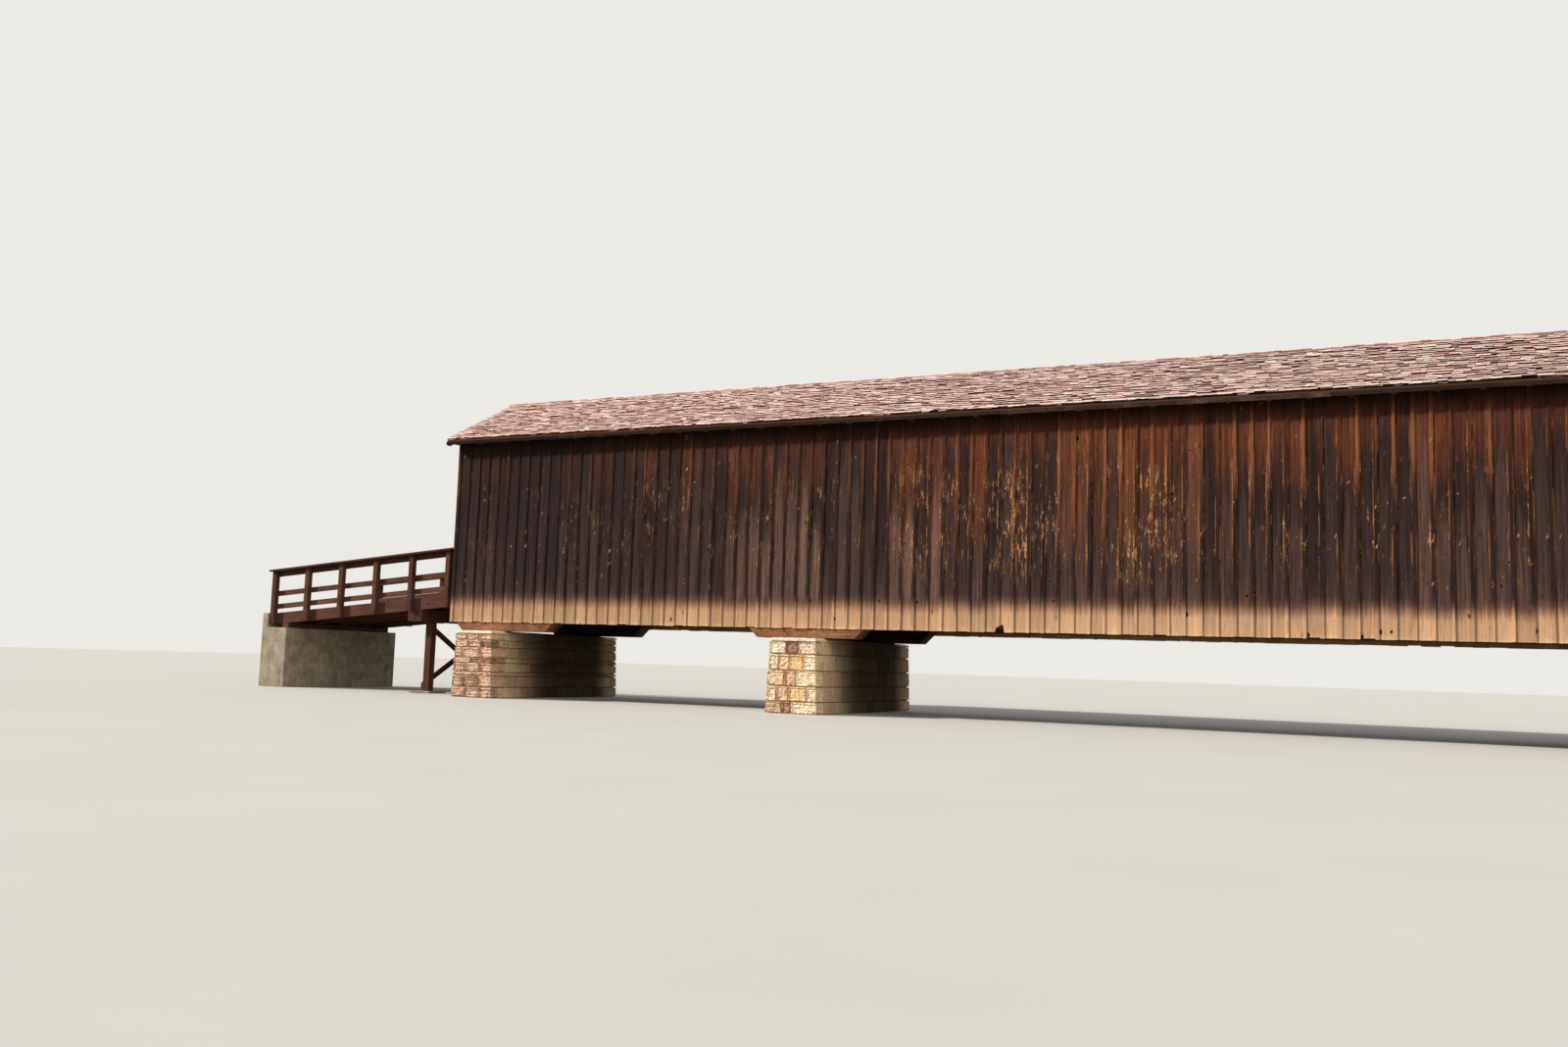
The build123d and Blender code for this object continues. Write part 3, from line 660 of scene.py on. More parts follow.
def upright_board(x0, x1, y_back, y_front, ragged, luck, columns=2, cup=0.0, bow=0.002, chipped=False):
    """One upright board between two planes, its foot a little ragged or broken out at the
    chip, with a slight cup and a slight bow."""
    rows = 14
    keys, squares = shell(columns, 1, rows)
    u, v = keys[:, 0] / columns, keys[:, 2] / rows
    x = x0 + (x1 - x0) * u
    foot = foot_z + ragged
    if chipped:
        foot = np.maximum(foot, np.interp(x - chip_x, chip_across, chip_up))
    z = foot + (head_z - foot) * v
    hollow = cup * luck.uniform(0.2, 1) * (4 * u * (1 - u))
    lift = bow * (0.5 + 0.5 * np.sin(v * luck.uniform(4, 9) + luck.uniform(0, 6)))
    outward = 1 if y_front > y_back else -1
    y = np.where(keys[:, 1] == 1, y_front - outward * (hollow + lift), y_back)
    x = x + 0.001 * np.sin(v * luck.uniform(3, 7) + luck.uniform(0, 6)) * (u - 0.5) * 2
    lay = np.column_stack([z, x - (x0 + x1) / 2, np.abs(y) - wall_out]) + cut_from(luck)
    return np.column_stack([x, y, z]), squares, lay


def build_wall(name, side, luck):
    """One side wall. The note "strip" is 1 on a batten and 0 on a board."""
    pile = Pile()
    near_wall = side < 0
    back, mid, front = side * (wall_in + 0.0002), side * (wall_in + board_thick), side * wall_out
    joints = [-wall_end] + [batten_first + batten_pitch * k for k in range(batten_count)] + [wall_end]
    for x0, x1 in zip(joints, joints[1:]):
        ragged = luck.choice([0, 0.002, 0.004, 0.009], p=[0.4, 0.3, 0.2, 0.1]) + luck.uniform(0, 0.002)
        broken = near_wall and x0 < chip_x + 0.04 and x1 > chip_x - 0.07
        pile.add(*upright_board(x0 + 0.001, x1 - 0.001, back, mid, ragged, luck, 14 if broken else 3, 0.0012,
                                0.0016, near_wall), tone=luck.uniform(), strip=0.0)
    for joint_x in joints[1:-1]:
        x = joint_x + luck.uniform(-0.0025, 0.0025)
        half = batten_wide / 2 * luck.uniform(0.9, 1.12)
        on_chip = near_wall and abs(x - chip_batten) < 0.02
        ragged = chip_cut if on_chip else luck.uniform(0, 0.006)
        pile.add(*upright_board(max(x - half, -wall_end), min(x + half, wall_end), mid, front, ragged, luck),
                 tone=luck.uniform(), strip=1.0)
    for x in (-wall_end + 0.011, wall_end - 0.011):
        pile.add(*upright_board(x - 0.011, x + 0.011, mid, front, 0, luck, bow=0.0016), tone=0.9, strip=1.0)
    pile.place(name + "_boards", siding_wood, "siding_wood", name)


siding_wood, b = new_finish("siding_wood")
place = b.place()
lay, tone, strip = b.note("lay", "Vector"), b.note("tone"), b.note("strip")
wood = b.use(grain, Lay=lay, Rings=150.0, Knots=1.35)
aged = b.use(weather, Place=place, Size=1.0)
x, y, z = b.parts(place)
other = b.math("FRACT", tone * 7.3)
along_wall = (x + 9.2) / 18.4
seam = b.math("FRACT", (x - batten_first) / batten_pitch)
edge = abs(seam - 0.5) * 2.0
board = 1.0 - strip
streaks = b.cloud(b.stretch(lay, (0.05, 1, 1)), 34.0, 5, 0.72)
wide = b.ease(b.cloud(b.stretch(lay, (0.03, 1, 1)), 42.0, 3, 0.6), 0.34, 0.66)
thin = b.ease(b.cloud(b.stretch(lay, (0.012, 1, 1)), 150.0, 3, 0.7), 0.36, 0.64)
# The pale foot ends in a nearly level line; above it the stain stands in dark tongues,
# highest in the middle of each board, with the burnt orange of worn wood between them
fingers = b.cloud(b.stretch(lay, (0.6, 14, 1)), 3.0, 4, 0.6)
climb = b.ease(z, 1.3, 2.3)
ragged = (fingers - 0.5) * (climb * 0.6 + 0.14)
ragged += (other - 0.5) * (climb * 0.55 + 0.035)
tongue = (edge * edge - 0.4) * (board * 0.42)
ragged += tongue * climb
height_up = (z + ragged - 0.9) / 2.3
# The top stops, a little darker at the head of the wall, are painted shade under the eave
stained = b.ramp(height_up, (0.0, 230, 188, 145), (0.014, 206, 164, 124), (0.08, 200, 157, 120),
                 (0.105, 160, 122, 96), (0.13, 106, 79, 65), (0.16, 66, 49, 45), (0.25, 52, 39, 39),
                 (0.5, 48, 35, 36), (0.7, 47, 33, 31), (0.85, 54, 35, 30), (0.9, 42, 29, 25), (1.0, 40, 28, 24))
scoured = b.ramp(height_up, (0.0, 238, 195, 152), (0.014, 224, 179, 139), (0.08, 214, 169, 132),
                 (0.105, 172, 131, 102), (0.13, 114, 84, 67), (0.16, 74, 54, 48), (0.25, 56, 41, 39),
                 (0.45, 56, 40, 37), (0.64, 60, 39, 33), (0.73, 104, 58, 40), (0.88, 128, 70, 45),
                 (1.0, 118, 66, 44))
sweep = b.ramp(along_wall, (0.0, 0), (0.09, 0.02), (0.15, 0.26), (0.3, 0.26), (0.37, 0.6), (0.445, 1),
               (0.52, 0.6), (0.75, 0.6), (1.0, 0.3))
sweep = sweep + (aged["Patches"] - 0.5) * 0.5 + (other - 0.5) * 0.35
colour = b.mix(sweep, stained, scoured)
# Some boards have greyed to taupe as far up as the spray of the rain reaches
grey_boards = b.ramp(along_wall, (0.0, 0.1), (0.2, 0.15), (0.25, 0.85), (0.31, 0.9), (0.38, 0.4), (0.56, 0.2),
                     (0.64, 0.55), (0.75, 0.8), (0.85, 0.3))
grey_top = z - tone * 1.1 + tongue * 0.9
grey_top += (streaks - 0.5) * 1.6
greyed = b.fade(grey_top, 1.2, 1.85) * b.ease(z, 1.12, 1.3) * board
greyed *= grey_boards * b.ease(other, 0.25, 0.75, 0.2, 1.0)
colour = b.mix(greyed * 0.9, colour, (130, 100, 87))
# Battens: nearly black low on the wall, tan towards the eave where the wall is scoured
dark_strip = strip * (b.ease(z, 1.14, 1.35) * b.fade(z, 2.0, 2.5, 0.2))
colour = b.mix(dark_strip * 0.75, colour, (46, 32, 32))
tan_strip = strip * (b.ease(z, 2.1, 2.7) * b.ease(x, -4.0, 0.6, 0.15, 1.0))
tan_strip *= b.ease(other + streaks * 0.6, 0.7, 1.15)
colour = b.mix(tan_strip * 0.85, colour, (150, 94, 60))
# Two fifths along the wall the burnt orange comes further down, in streaks
middle = b.ramp(along_wall, (0.3, 0), (0.38, 0.8), (0.44, 1), (0.475, 1), (0.51, 0))
burnt = middle * (b.ease(z, 1.55, 2.1) * b.fade(z, 2.5, 2.8, 0.2))
burnt *= b.ease(streaks + other * 0.4, 0.5, 1.0)
colour = b.mix(burnt * 0.5, colour, (160, 92, 56))
# Board by board and line by line along the grain
uneven = (wide - 0.5) * 0.56 + (thin - 0.5) * 0.3
uneven *= b.ease(z, 1.05, 1.3, 0.32, 1.0)
colour = b.shade(colour, uneven + (tone - 0.5) * 0.36 + 0.98)
# Bare wood: narrow lines beside the battens, and torn patches that stand in clusters
clusters = b.cloud(b.stretch(place, (1.6, 1, 0.8)), 1.5, 3, 0.6)
zone = b.ease(z, 1.25, 1.8) * b.fade(z, 2.75, 2.95, 0.3) * b.ease(sweep, 0.0, 0.55, 0.15, 1.0)
at_edge = b.ease(edge, 0.5, 0.72) * (board * 0.3)
stretches = b.cloud(b.point(b.parts(lay)[0], tone * 50.0, 0.0), 3.5, 2, 0.6)
lines = streaks + at_edge + stretches * 0.5
lines = b.ease(lines, 1.0, 1.08) * zone
colour = b.mix(lines * 0.85, colour, b.mix(wide, (104, 58, 38), (188, 126, 78)))
patches = b.cloud(b.stretch(lay, (0.17, 1, 1)), 33.0, 5, 0.8) + at_edge * 0.25
patches += (clusters + stretches * 0.4) * 0.4
more_here = b.ramp(along_wall, (0.0, 0.04), (0.34, 0.04), (0.42, 0.06), (0.47, 0.06), (0.52, 0))
patches = b.ease(patches + more_here, 0.925, 0.965)
patches *= zone * b.fade(z, 2.35, 2.7, 0.3)
honey = b.mix(b.ease(b.cloud(lay, 55.0, 3, 0.7), 0.4, 0.62), (138, 88, 54), (222, 168, 108))
colour = b.mix(patches, colour, honey)
# Flecks of torn, curled grain, pale wood painted as catching the sun, each with a small painted shadow beside
# it
bend = (b.cloud(place, 55.0, 3, 0.75) - 0.5) * 0.075


def torn_flecks(push):
    """Where the flecks are, moved along the wall by a little for their painted shadows, and their hue."""
    at = b.point(x + (bend + push), z * 0.6 + bend, 0.0)
    spot = b.cells(at, 9.0, voronoi_dimensions="2D")
    size, kept, hue = b.parts(spot["Color"])
    inside = spot["Distance"] - size * size * 0.11
    kept += clusters * 2.0
    return b.fade(inside, -0.05, 0.0) * b.ease(kept, 1.5, 1.54), hue


here = b.ease(z, 1.2, 1.5) * b.fade(z, 2.7, 2.95, 0.3)
shadows = torn_flecks(-0.007)[0]
flecks, hue = torn_flecks(0.0)
colour = b.mix(shadows * here * 0.7, colour, (30, 20, 19))
colour = b.mix(flecks * here * 0.85, colour, b.mix(hue, (160, 104, 62), (226, 194, 154)))
# Painted shade under the overhang at the top of the wall, added to the eave's cast shadow
painted_eave_shade = b.ramp(b.ease(z, 2.8, 3.1), (0.0, 0), (0.2, 0.1), (0.4, 0.3), (0.5, 0.22), (0.6, 0.28), (0.8, 0.5),
                    (0.95, 0.72))
colour = b.mix(painted_eave_shade, colour, (36, 24, 20))
colour = b.mix(wood["Rim"] * b.ease(other, 0.2, 0.9, 0.2, 0.75), colour, (138, 84, 56))
colour = b.mix(wood["Knot"] * 0.85, colour, (34, 20, 16))
colour = b.mix(wood["Checks"] * b.ease(z, 1.0, 1.3, 0.2, 0.6), colour, (28, 18, 15))
relief = thin * 0.6 + wide * 0.35 - wood["Checks"] * 1.2
b.finish(colour, 0.85, relief, 0.7, 0.0025)

chance = np.random.default_rng(53)
build_wall("siding_near", -1, chance)
build_wall("siding_far", 1, chance)

# ---- Portals ----
# The end walls: the same boards and battens, closing the gable and framing the opening
# that the roadway runs through, with a flat casing board round its edge.
eave_y, eave_z, ridge_z = 1.25, 3.182, 3.833
gable_drop = 0.0457            # from the roof's face down to the tops of the boards
opening_half, opening_side, opening_top, opening_flat = 0.8003, 2.7, 2.94, 0.6
portal_half, portal_inner, portal_mid = 1.0747, 9.0803, 9.0925
casing_foot, casing_wide = 1.215, 0.08


def build_portal(name, end, luck):
    pile = Pile()
    inner, mid, outer = end * portal_inner, end * portal_mid, end * wall_end
    seams = [i * opening_half / 5 for i in range(6)] + [(opening_half + portal_half) / 2, portal_half]
    seams = [-s for s in reversed(seams[1:])] + seams

    def stand(y0, y1, back, front, above, columns):
        """A board or batten from the wall's foot, or from above the opening, up to the roof."""
        rows = 10
        keys, squares = shell(columns, 1, rows)
        u, v = keys[:, 0] / columns, keys[:, 2] / rows
        y = y0 + (y1 - y0) * u
        low = foot_z
        if abs(y0 + y1) / 2 < opening_half:
            head = (opening_top, opening_side)
            low = above + np.interp(np.minimum(np.abs(y), 0.8), (opening_flat, opening_half), head)
        high = ridge_z - (ridge_z - eave_z) / eave_y * np.abs(y) - gable_drop
        z = low + (high - low) * v
        bow = end * 0.0012 * (0.5 + 0.5 * np.sin(v * 7 + luck.uniform(0, 6)))
        x = np.where(keys[:, 1] == 1, front - bow, back)
        lay = np.column_stack([z, y - (y0 + y1) / 2, x * 0]) + cut_from(luck)
        return np.column_stack([x, y, z]), squares, lay

    for y0, y1 in zip(seams, seams[1:]):
        corner = next((y for y in (-opening_flat, opening_flat) if y0 < y < y1), None)
        for p0, p1 in ((y0, y1),) if corner is None else ((y0, corner), (corner, y1)):
            p0, p1 = p0 + 0.001 * (p0 == y0), p1 - 0.001 * (p1 == y1)
            pile.add(*stand(p0, p1, inner, mid, 0, 2), tone=luck.uniform(), strip=0.0)
    for y in seams[1:-1]:
        if abs(abs(y) - opening_half) > 0.001:
            half = batten_wide / 2
            pile.add(*stand(y - half, y + half, mid, outer, 0.085, 1), tone=luck.uniform(), strip=1.0)
    # Casing round the opening
    inside = [(opening_half, casing_foot), (opening_half, opening_side), (opening_flat, opening_top)]
    outside = [(opening_half + casing_wide, casing_foot), (opening_half + casing_wide, 2.729), (0.6375, 3.02)]
    rings = [np.array([(-y, z) for y, z in line] + line[::-1]) for line in (inside, outside)]
    steps = 8
    keys, squares = shell(steps, 1, 1)
    t = (keys[:, 0] / steps)[:, None]
    for i in range(len(rings[0]) - 1):
        on_inside, on_outside = (ring[i] * (1 - t) + ring[i + 1] * t for ring in rings)
        flat = np.where(keys[:, 2:] == 1, on_outside, on_inside)
        x = np.where(keys[:, 1] == 1, outer - end * 0.0006, mid)
        run = np.linalg.norm(rings[0][i + 1] - rings[0][i])
        lay = np.column_stack([t[:, 0] * run + luck.uniform(0, 40), keys[:, 2] * casing_wide, x * 0])
        pile.add(np.column_stack([x, flat]), squares, lay, tone=0.6, strip=1.0)
    pile.place(name + "_boards", siding_wood, "siding_wood", name)


chance = np.random.default_rng(61)
build_portal("portal_left", -1, chance)
build_portal("portal_right", 1, chance)

# ---- Roof shingles ----
# Split wood shingles, two layers thick, nailed in courses to boards across the rafters.
# They have bleached, cupped and slipped, so the courses run in waves; each butt is painted
# pale at its top as a painted highlight, and dark below as painted shade under the lifted tip.
run_long = math.hypot(eave_y, ridge_z - eave_z)
roof_cos, roof_sin = eave_y / run_long, (ridge_z - eave_z) / run_long
roof_end = 9.19
courses = 20
exposure = run_long / courses
fall = 0.0095                  # how far a shingle's face sinks over one exposure
shingle_long = 0.158
tip_thick = 0.0015
starter_fall = 0.0098          # each of the two starter courses lies this much under the next
starter_thick, starter_tip = 0.0095, -0.0235
sheathing_rows = 13
sheathing_face, sheathing_back = -0.0288, -0.0398      # below the roof's face
sheathing_end = roof_end - 0.022
cant_y, cant_z = (1.248, 1.231), (3.1372, 3.152)       # the strip that tilts the first course


def on_roof(x, up, out, side):
    """A point on a slope: metres along the bridge, up the slope and out of its face."""
    y = side * (eave_y - up * roof_cos + out * roof_sin)
    return np.stack([x, y, eave_z + up * roof_sin + out * roof_cos], -1)


def now_and_then(luck, share, low, high):
    """A number between low and high for this share of the parts, and none for the others."""
    return luck.uniform(low, high) if luck.uniform() < share else 0


def build_slope(name, side, luck):
    pile = Pile()
    keys, squares = shell(2, 1, 1)          # across, through, up the slope
    u, through, v = keys[:, 0] / 2, keys[:, 1], keys[:, 2]
    for course in range(-2, courses):
        phase = luck.uniform(0, 6, 3)
        for x, x1 in lengths(-roof_end, roof_end, lambda: luck.uniform(0.05, 0.15), 0.045):
            wave = 0.007 * math.sin(x * 1.9 + phase[0]) + 0.005 * math.sin(x * 5.3 + phase[1])
            slip = luck.uniform(-0.012, 0.012) + now_and_then(luck, 0.15, 0.008, 0.02)
            butt = max(0.0, course * exposure + wave - slip)
            if course <= 0:
                butt = luck.uniform(-0.006, 0.009)
            lift = luck.uniform(0, 0.003) + now_and_then(luck, 0.35, 0, 0.008)
            thick = luck.uniform(0.0065, 0.0105)
            if course < 0:
                lift, thick = starter_fall * course - 0.0005, starter_thick
            tip = min(butt + shingle_long, run_long - 0.002)
            cup = luck.uniform(-0.001, 0.004)
            skew = luck.uniform(-0.008, 0.008)
            gap, bevel = luck.uniform(0.0008, 0.003), luck.uniform(0.002, 0.009)
            px = x + gap + (x1 - x - 2 * gap) * u
            up = np.where(v == 1, tip, butt + skew * (u - 0.5) + bevel * through)
            out = (lift + cup * (4 * (u - 0.5) ** 2)) * (1 - v) - (tip - butt) / exposure * fall * v
            out = out - np.where(through == 0, np.where(v == 1, tip_thick, thick), 0)
            if course < 0:
                out = np.where(v == 1, starter_tip - tip_thick * (through == 0), out)
            # The note "shake": along the eave, up from the butt, and 1 on a face to 0 on a butt.
            # The first course's butts are marked for painted highlight, and the starters under it for painted
            # shade
            butt_note, face_note = {0: (0.7, 1.0), -1: (0.0, 0.5), -2: (0.0, 0.5)}.get(course, (0.0, 1.0))
            shake = np.column_stack([px + luck.uniform(0, 30), up - butt,
                                     np.where(through == 1, face_note, butt_note)])
            pile.add(on_roof(px, up, out, side), squares, shake=shake, tone=luck.uniform())
    # Boards that the shingles are nailed to
    row_pitch = (run_long - 0.006) / sheathing_rows
    keys, squares = shell(1, 1, 1)
    u, through, v = keys.T
    for row in range(sheathing_rows):
        for x, x1 in lengths(-sheathing_end, sheathing_end, lambda: luck.uniform(1.8, 2.6), 0.7):
            px = np.where(u == 1, x1 - 0.001, x + 0.001)
            up = 0.003 + (row + v) * row_pitch - 0.001 * v
            out = np.where(through == 1, sheathing_face, sheathing_back)
            shake = np.column_stack([px + luck.uniform(0, 30), up, px * 0 - 1.0])
            pile.add(on_roof(px, up, out, side), squares, shake=shake, tone=luck.uniform())
            if row == 0:
                strip = np.column_stack([px, side * np.array(cant_y)[v], np.array(cant_z)[through]])
                pile.add(strip, squares, shake=shake, tone=luck.uniform())
    pile.place(name + "_shingles", roof_shingles, "roof_shingles", name)


roof_shingles, b = new_finish("roof_shingles")
place = b.place()
tone = b.note("tone")
across, up, face = b.parts(b.note("shake", "Vector"))
aged = b.use(weather, Place=place, Size=0.6)
split = b.cloud(b.point(across, up * 0.06, tone), 200.0, 3, 0.65)
along_roof = b.parts(place)[0]
level = tone * 0.66 + b.ease(along_roof, -8.0, 1.0, 0.3, 0.17)
level = level + (aged["Patches"] - 0.5) * 0.6 + (split - 0.5) * 0.8
colour = b.ramp(level, (0.0, 92, 50, 43), (0.3, 144, 93, 84), (0.6, 194, 143, 131), (0.85, 222, 180, 168),
                (1.0, 240, 212, 200))
worn = b.fade(up + (split - 0.5) * 0.02, 0.01, 0.024)
colour = b.mix(worn * b.ease(tone, 0.05, 0.5, 0.35, 0.8), colour, (250, 232, 220))
# Butts: a painted highlight at their tops and painted shade below in the gap, redder to the left
butt = b.fade(face, 0.95, 0.99)
painted_butt_highlight = face + b.math("FRACT", tone * 7.3) * 0.6
dark = b.mix(b.fade(along_roof, -8.0, 1.0), (34, 10, 8), (100, 34, 26))
colour = b.mix(butt, colour, b.mix(b.ease(painted_butt_highlight, 0.82, 0.94), dark, (255, 240, 228)))
colour = b.mix(b.fade(face, -0.6, -0.4), colour, (84, 58, 42))
b.finish(colour, 0.9, split, 0.7, 0.002)

chance = np.random.default_rng(71)
build_slope("roof_near", -1, chance)
build_slope("roof_far", 1, chance)

# ---- Ridge cap ----
# Two last courses of short shingles nailed along both sides of the ridge, whitened at
# the top; their upper corners stand up unevenly and give the ridge its toothed line.
cap_thick = 0.0045
chance = np.random.default_rng(83)
pile = Pile()
keys, squares = shell(1, 1, 1)
u, through, v = keys.T
for side in (-1, 1):
    for layer, shortest in enumerate((0.085, 0.03)):
        for x, x1 in lengths(-roof_end, roof_end, lambda: chance.uniform(0.05, 0.13), 0.05):
            long = shortest + chance.uniform(0, 0.04)
            corners = np.sort(chance.uniform(0, 0.005 * layer, 2))[::chance.choice([-1, 1])]
            px = x + 0.001 + (x1 - x - 0.002) * u
            up = run_long - long * (1 - v)
            out = 0.001 + cap_thick * (layer + through) + chance.uniform(0, 0.003) * (1 - v) + corners[u] * v
            from_edge = 0.045 * (1 - v) if layer else long * v
            shake = np.column_stack([px + chance.uniform(0, 30), from_edge, through])
            pile.add(on_roof(px, up, out, side), squares, shake=shake, tone=chance.uniform())
pile.place("ridge_cap_boards", roof_shingles, "roof_shingles", "ridge_cap")

# ---- Fascia and rake boards ----
# Dark boards nailed to the rafter tails under each eave and up the roof's edges at the
# ends, butted end to end with small gaps; those at the sunnier end have greyed.
trim_wood = timber_finish("trim_wood", [(12, 7, 5), (24, 14, 11), (58, 39, 32), (124, 98, 84)], knots=1.4)
fascia_face, fascia_thick = 1.2495, 0.0185
chance = np.random.default_rng(97)
low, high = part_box("fascia_boards")
pile = Pile()
for side in (-1, 1):
    for x, x1 in lengths(low.x, high.x, lambda: chance.uniform(1.2, 1.9), 0.6):
        drops = chance.uniform(0, 0.005, 2)
        corner = (x + 0.001, side * fascia_face, low.z + drops[0])
        along = (x1 - x - 0.002, 0, drops[1] - drops[0])
        greyed = np.clip(((x + x1) / 2 + 8.6) / 8, 0, 1)
        pile.add(*bar(corner, along, (0, -side * fascia_thick, 0), (0, 0, high.z - low.z - drops.min() + 0.001),
                      (0.15, 0.02, 0.02), 0.002, 0.0015, chance), tone=0.45 * chance.uniform() + 0.6 * greyed)
pile.place("fascia_board_lengths", trim_wood, "trim_wood", "fascia_boards")
dress("rake_boards", "rake_board_pairs", trim_wood, "trim_wood", chance, edge=0.002, step=0, wander=0)

# ---- Abutments and footings ----
# Cast concrete: a bearing wall with a taller back wall at the outer end of each ramp,
# and small pads under the posts of the bents.
concrete, b = new_finish("concrete")
place = b.place()
aged = b.use(weather, Place=place, Size=1.0)
sand = b.cloud(place, 90.0, 4, 0.65)
colour = b.ramp(aged["Patches"], (0.3, 140, 127, 108), (0.5, 170, 156, 134), (0.7, 194, 181, 160))
colour = b.shade(colour, sand * 0.5 + 0.75)
holes = b.fade(b.cells(place, 60.0)["Distance"], 0.08, 0.16)
colour = b.mix(holes * 0.6, colour, (90, 76, 58))
colour = b.mix(b.ease(aged["Runs"], 0.5, 0.72) * 0.45, colour, (96, 82, 62))
b.finish(colour, 0.92, sand - holes, 0.5, 0.002)
chance = np.random.default_rng(101)
for node in ("abutment_left", "abutment_right", "bent_footings"):
    dress(node, node + "_cast", concrete, "concrete", chance, edge=0.006, step=0, wander=0.0015)

# ---- Ramp bents and sills ----
# Under each ramp a bent of two square posts carries a pair of cap timbers, braced by a
# plank crossing each face; at the abutment the beams sit on a timber sill.
ramp_timber = timber_finish("ramp_timber", [(60, 38, 31), (88, 56, 45), (108, 70, 56), (126, 86, 68)])
chance = np.random.default_rng(103)
for node in ("bent_posts", "bent_caps", "bent_braces", "ramp_sills"):
    dress(node, node + "_dressed", ramp_timber, "ramp_timber", chance, edge=0.004, step=0.2, wander=0.002)

# ---- Ramp beams and deck planks ----
# Deep edge beams with stringers between them, and cross planks spiked down flush with
# the tops of the edge beams.
dress("ramp_beams", "ramp_beams_dressed", ramp_timber, "ramp_timber", chance, edge=0.004, step=0.3,
      wander=0.002)
ramp_slope = 0.088
ramp_start, ramp_end = 9.1053, 12.27
stringer_deep, plank_wide, plank_long, plank_thick = 0.12, 0.0985, 1.759, 0.0295


def ramp_under(x):
    """Height of the underside of the ramp beams at a distance x from the bridge's middle."""
    return 1.106 - (x - wall_end) * ramp_slope


pile = Pile()
for end in (-1, 1):
    for x, x1 in lengths(ramp_start, ramp_end, lambda: plank_wide, 0):
        wide = x1 - x - 0.004
        corner = (end * (x + 0.002), -plank_long / 2, ramp_under(x + 0.002) + stringer_deep + 0.0002)
        pile.add(*bar(corner, (0, plank_long, 0), (end * wide, 0, -wide * ramp_slope),
                      (0, 0, plank_thick - chance.uniform(0, 0.002)), (0.3, 0.05, 0.05), 0.003, 0.0012, chance),
                 tone=chance.uniform())
pile.place("ramp_deck_planks", ramp_timber, "ramp_timber", "ramp_decks")

# ---- Railings ----
# Square posts bolted to the outer faces of the edge beams, three rails on their inner
# faces and a flat plank on top; four bolts with washers show on each post.
bolt_steel, b = new_finish("bolt_steel")
aged = b.use(weather, Place=b.place(), Size=2.0)
colour = b.mix(b.ease(aged["Specks"], 0.4, 0.65), (38, 30, 28), (96, 62, 44))
b.finish(colour, 0.6, aged["Specks"], 0.4, 0.001, metal=0.6)
post_count, post_first, post_pitch, post_wide, post_high = 6, 9.26, 0.595, 0.07, 0.705
post_in, bolt_face, rail_end = 0.95, 1.018, 12.3
bolt_heights = (0.03, 0.095, 0.235, 0.41)
# Each rail's foot above the beams' underside, its depth, and its inner and outer faces
rails = [(0.2, 0.07, 0.93, post_in), (0.375, 0.07, 0.93, post_in), (0.635, 0.07, 0.93, post_in),
         (post_high, 0.025, 0.915, 1.06)]


def bolt(centre, side):
    """A round washer with a domed nut on it, facing out from a post."""
    ring, size = 12, 0.011
    profile = [(0, 0), (size, 0), (size, 0.0022), (size * 0.62, 0.0026), (size * 0.6, 0.0062),
               (size * 0.35, 0.0084), (0, 0.009)]
    points = []
    for radius, out in profile:
        points += [(centre[0] + radius * math.cos(math.tau * i / ring), centre[1] + side * out,
                    centre[2] + radius * math.sin(math.tau * i / ring)) for i in range(ring if radius else 1)]
    rings = [[1 + ring * k + i % ring for i in range(ring + 1)] for k in range(len(profile) - 2)]
    faces = [(0, c, a) for a, c in zip(rings[0], rings[0][1:])]
    for lower, upper in zip(rings, rings[1:]):
        faces += [(lower[i], lower[i + 1], upper[i + 1], upper[i]) for i in range(ring)]
    faces += [(a, c, len(points) - 1) for a, c in zip(rings[-1], rings[-1][1:])]
    return points, faces


chance = np.random.default_rng(107)
for end_name, end in (("left", -1), ("right", 1)):
    for side_name, side in (("near", -1), ("far", 1)):
        pile, bolts = Pile(), Pile()
        for k in range(post_count):
            x = post_first + post_pitch * k
            low = ramp_under(x + post_wide / 2)
            tall = ramp_under(x) + post_high - low
            pile.add(*bar((end * x - post_wide / 2, side * post_in, low), (0, 0, tall), (post_wide, 0, 0),
                          (0, side * post_wide, 0), (0.12, 0.035, 0.035), 0.004, 0.002, chance),
                     tone=chance.uniform())
            for up in bolt_heights:
                bolts.add(*bolt((end * x + chance.uniform(-0.004, 0.004), side * bolt_face, low + up), side))
        x0, x1 = ramp_start + 0.005, rail_end
        for foot, deep, y_in, y_out in rails:
            pile.add(*bar((end * x0, side * y_in, ramp_under(x0) + foot),
                          (end * (x1 - x0), 0, ramp_under(x1) - ramp_under(x0)), (0, side * (y_out - y_in), 0),
                          (0, 0, deep), (0.2, 0.05, 0.04), 0.003, 0.0015, chance), tone=chance.uniform())
        node = f"railing_{end_name}_{side_name}"
        pile.place(node + "_timbers", ramp_timber, "ramp_timber", node)
        bolts.place(node + "_bolts", bolt_steel, "ramp_timber", node)

# ---- Setting ----
# A pale studio floor and background, one soft sun from the upper left and an even fill,
# and the camera where the photograph was taken from.


def seen_directly(b):
    """1 where the camera looks, straight or by way of a gloss or a glass, and 0 for other rays."""
    rays = b.put("LightPath", {})
    by_way = b.math("MAXIMUM", rays["Is Glossy Ray"], rays["Is Transmission Ray"])
    return b.math("MAXIMUM", rays["Is Camera Ray"], by_way)


def set_up(name, data):
    made = bpy.data.objects.new(name, data)
    bpy.context.scene.collection.objects.link(made)
    return made


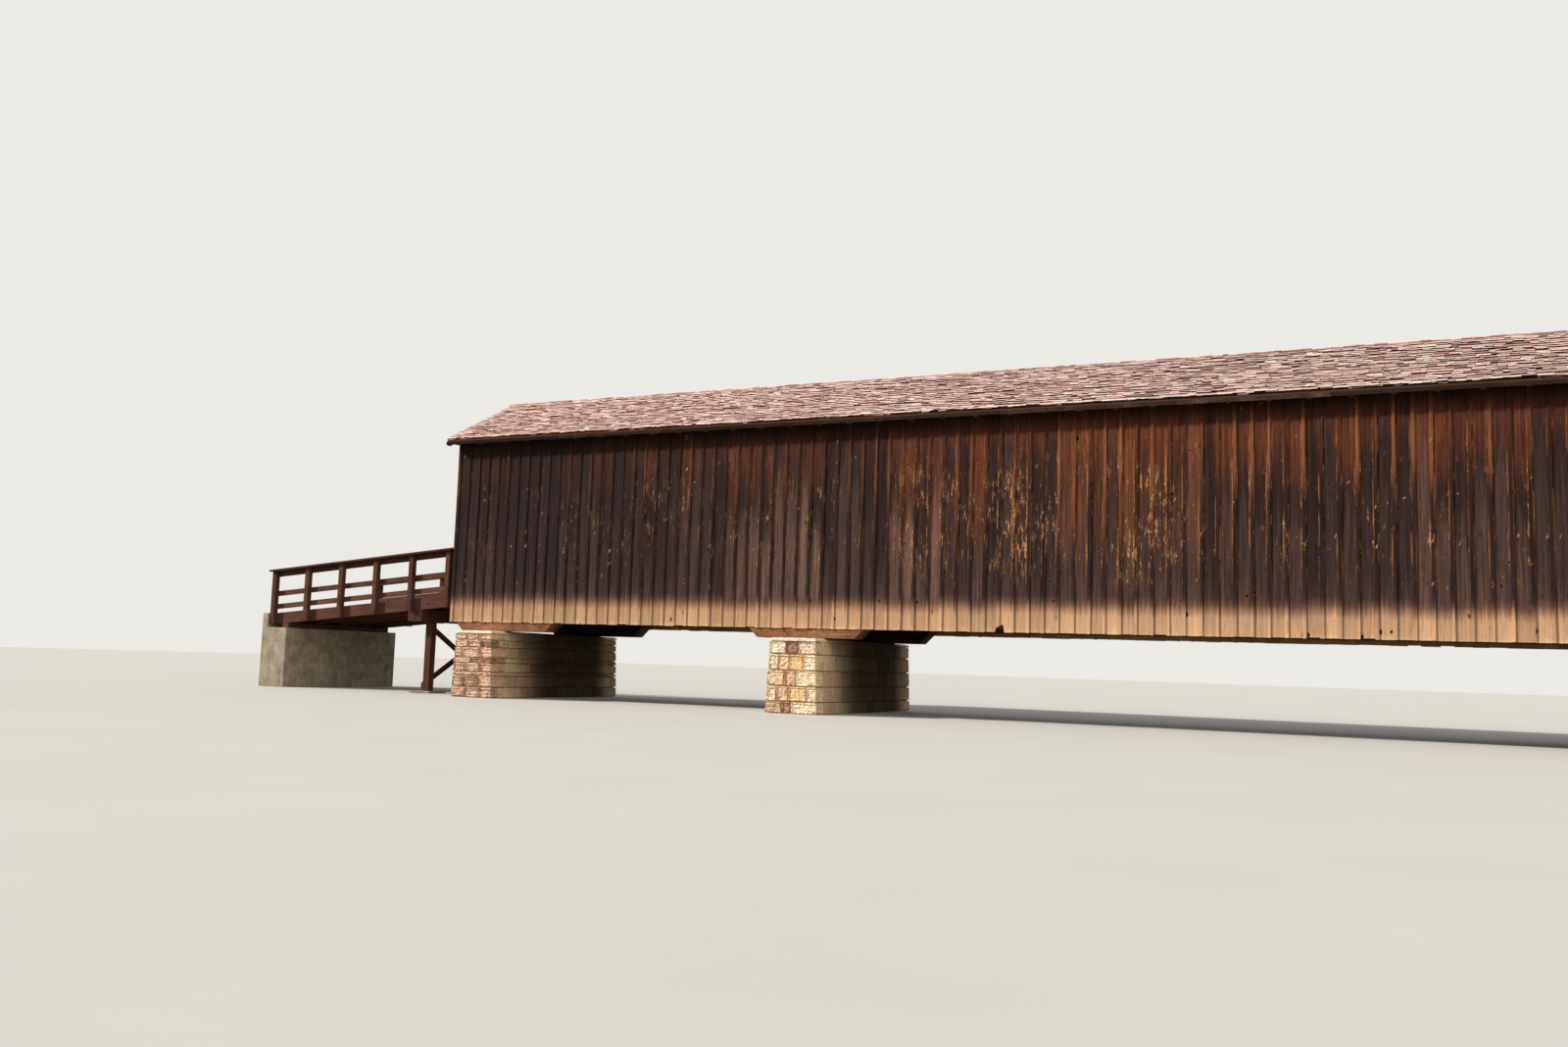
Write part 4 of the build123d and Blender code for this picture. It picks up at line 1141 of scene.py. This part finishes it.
floor_mesh = bpy.data.meshes.new("floor")
floor_mesh.from_pydata([(-70, -40, -0.001), (70, -40, -0.001), (70, 90, -0.001), (-70, 90, -0.001)], [],
                       [(0, 1, 2, 3)])
floor = set_up("floor", floor_mesh)
floor_finish, b = new_finish("floor")
dust = b.cloud(b.place(), 0.8, 3, 0.5)
pale = b.mix(dust, (214, 211, 204), (222, 219, 212))
b.finish(b.mix(seen_directly(b), (132, 128, 110), pale), 0.95, dust, 0.02, 0.01)
floor_mesh.materials.append(floor_finish)

world = bpy.data.worlds.new("studio")
bpy.context.scene.world = world
world.use_nodes = True
world.node_tree.nodes.clear()
b = Bench(world.node_tree)
fill = b.put("Background", {0: (0.94, 0.97, 1.0, 1), 1: 0.36})
backdrop = b.put("Background", {0: paint(236, 234, 229), 1: 1.0})
both = b.put("MixShader", {0: seen_directly(b), 1: fill[0], 2: backdrop[0]})
b.put("OutputWorld", {0: both[0]})

# The sun, and a weak, very soft lamp from the right that keeps the shaded ends readable
for name, power, spread, colour, towards in (
        ("sun", 3.9, 4, (1.0, 0.96, 0.9), (-0.73, -0.46, 0.50)),
        ("soft_fill", 0.9, 60, (1.0, 0.97, 0.92), (0.8, -0.5, 0.25))):
    lamp = bpy.data.lights.new(name, "SUN")
    lamp.energy, lamp.angle, lamp.color = power, math.radians(spread), colour
    set_up(name, lamp).rotation_euler = Vector(towards).to_track_quat("Z", "Y").to_euler()

yaw, pitch, roll = -0.4674, 0.1022, 0.0324
ahead = Vector((math.sin(yaw) * math.cos(pitch), math.cos(yaw) * math.cos(pitch), math.sin(pitch)))
right = Vector((math.cos(yaw), -math.sin(yaw), 0))
upward = right.cross(ahead)
turned_right = math.cos(roll) * right + math.sin(roll) * upward
turned_up = -math.sin(roll) * right + math.cos(roll) * upward
lens = bpy.data.cameras.new("camera")
lens.sensor_width = 36
lens.lens = 31.10
lens.clip_end = 300
camera = set_up("camera", lens)
turn = Matrix((turned_right, turned_up, -ahead)).transposed().to_4x4()
turn.translation = Vector((2.13135, -14.2669, 0.5346))
camera.matrix_world = turn
bpy.context.scene.camera = camera
bpy.context.scene.view_settings.view_transform = "Standard"
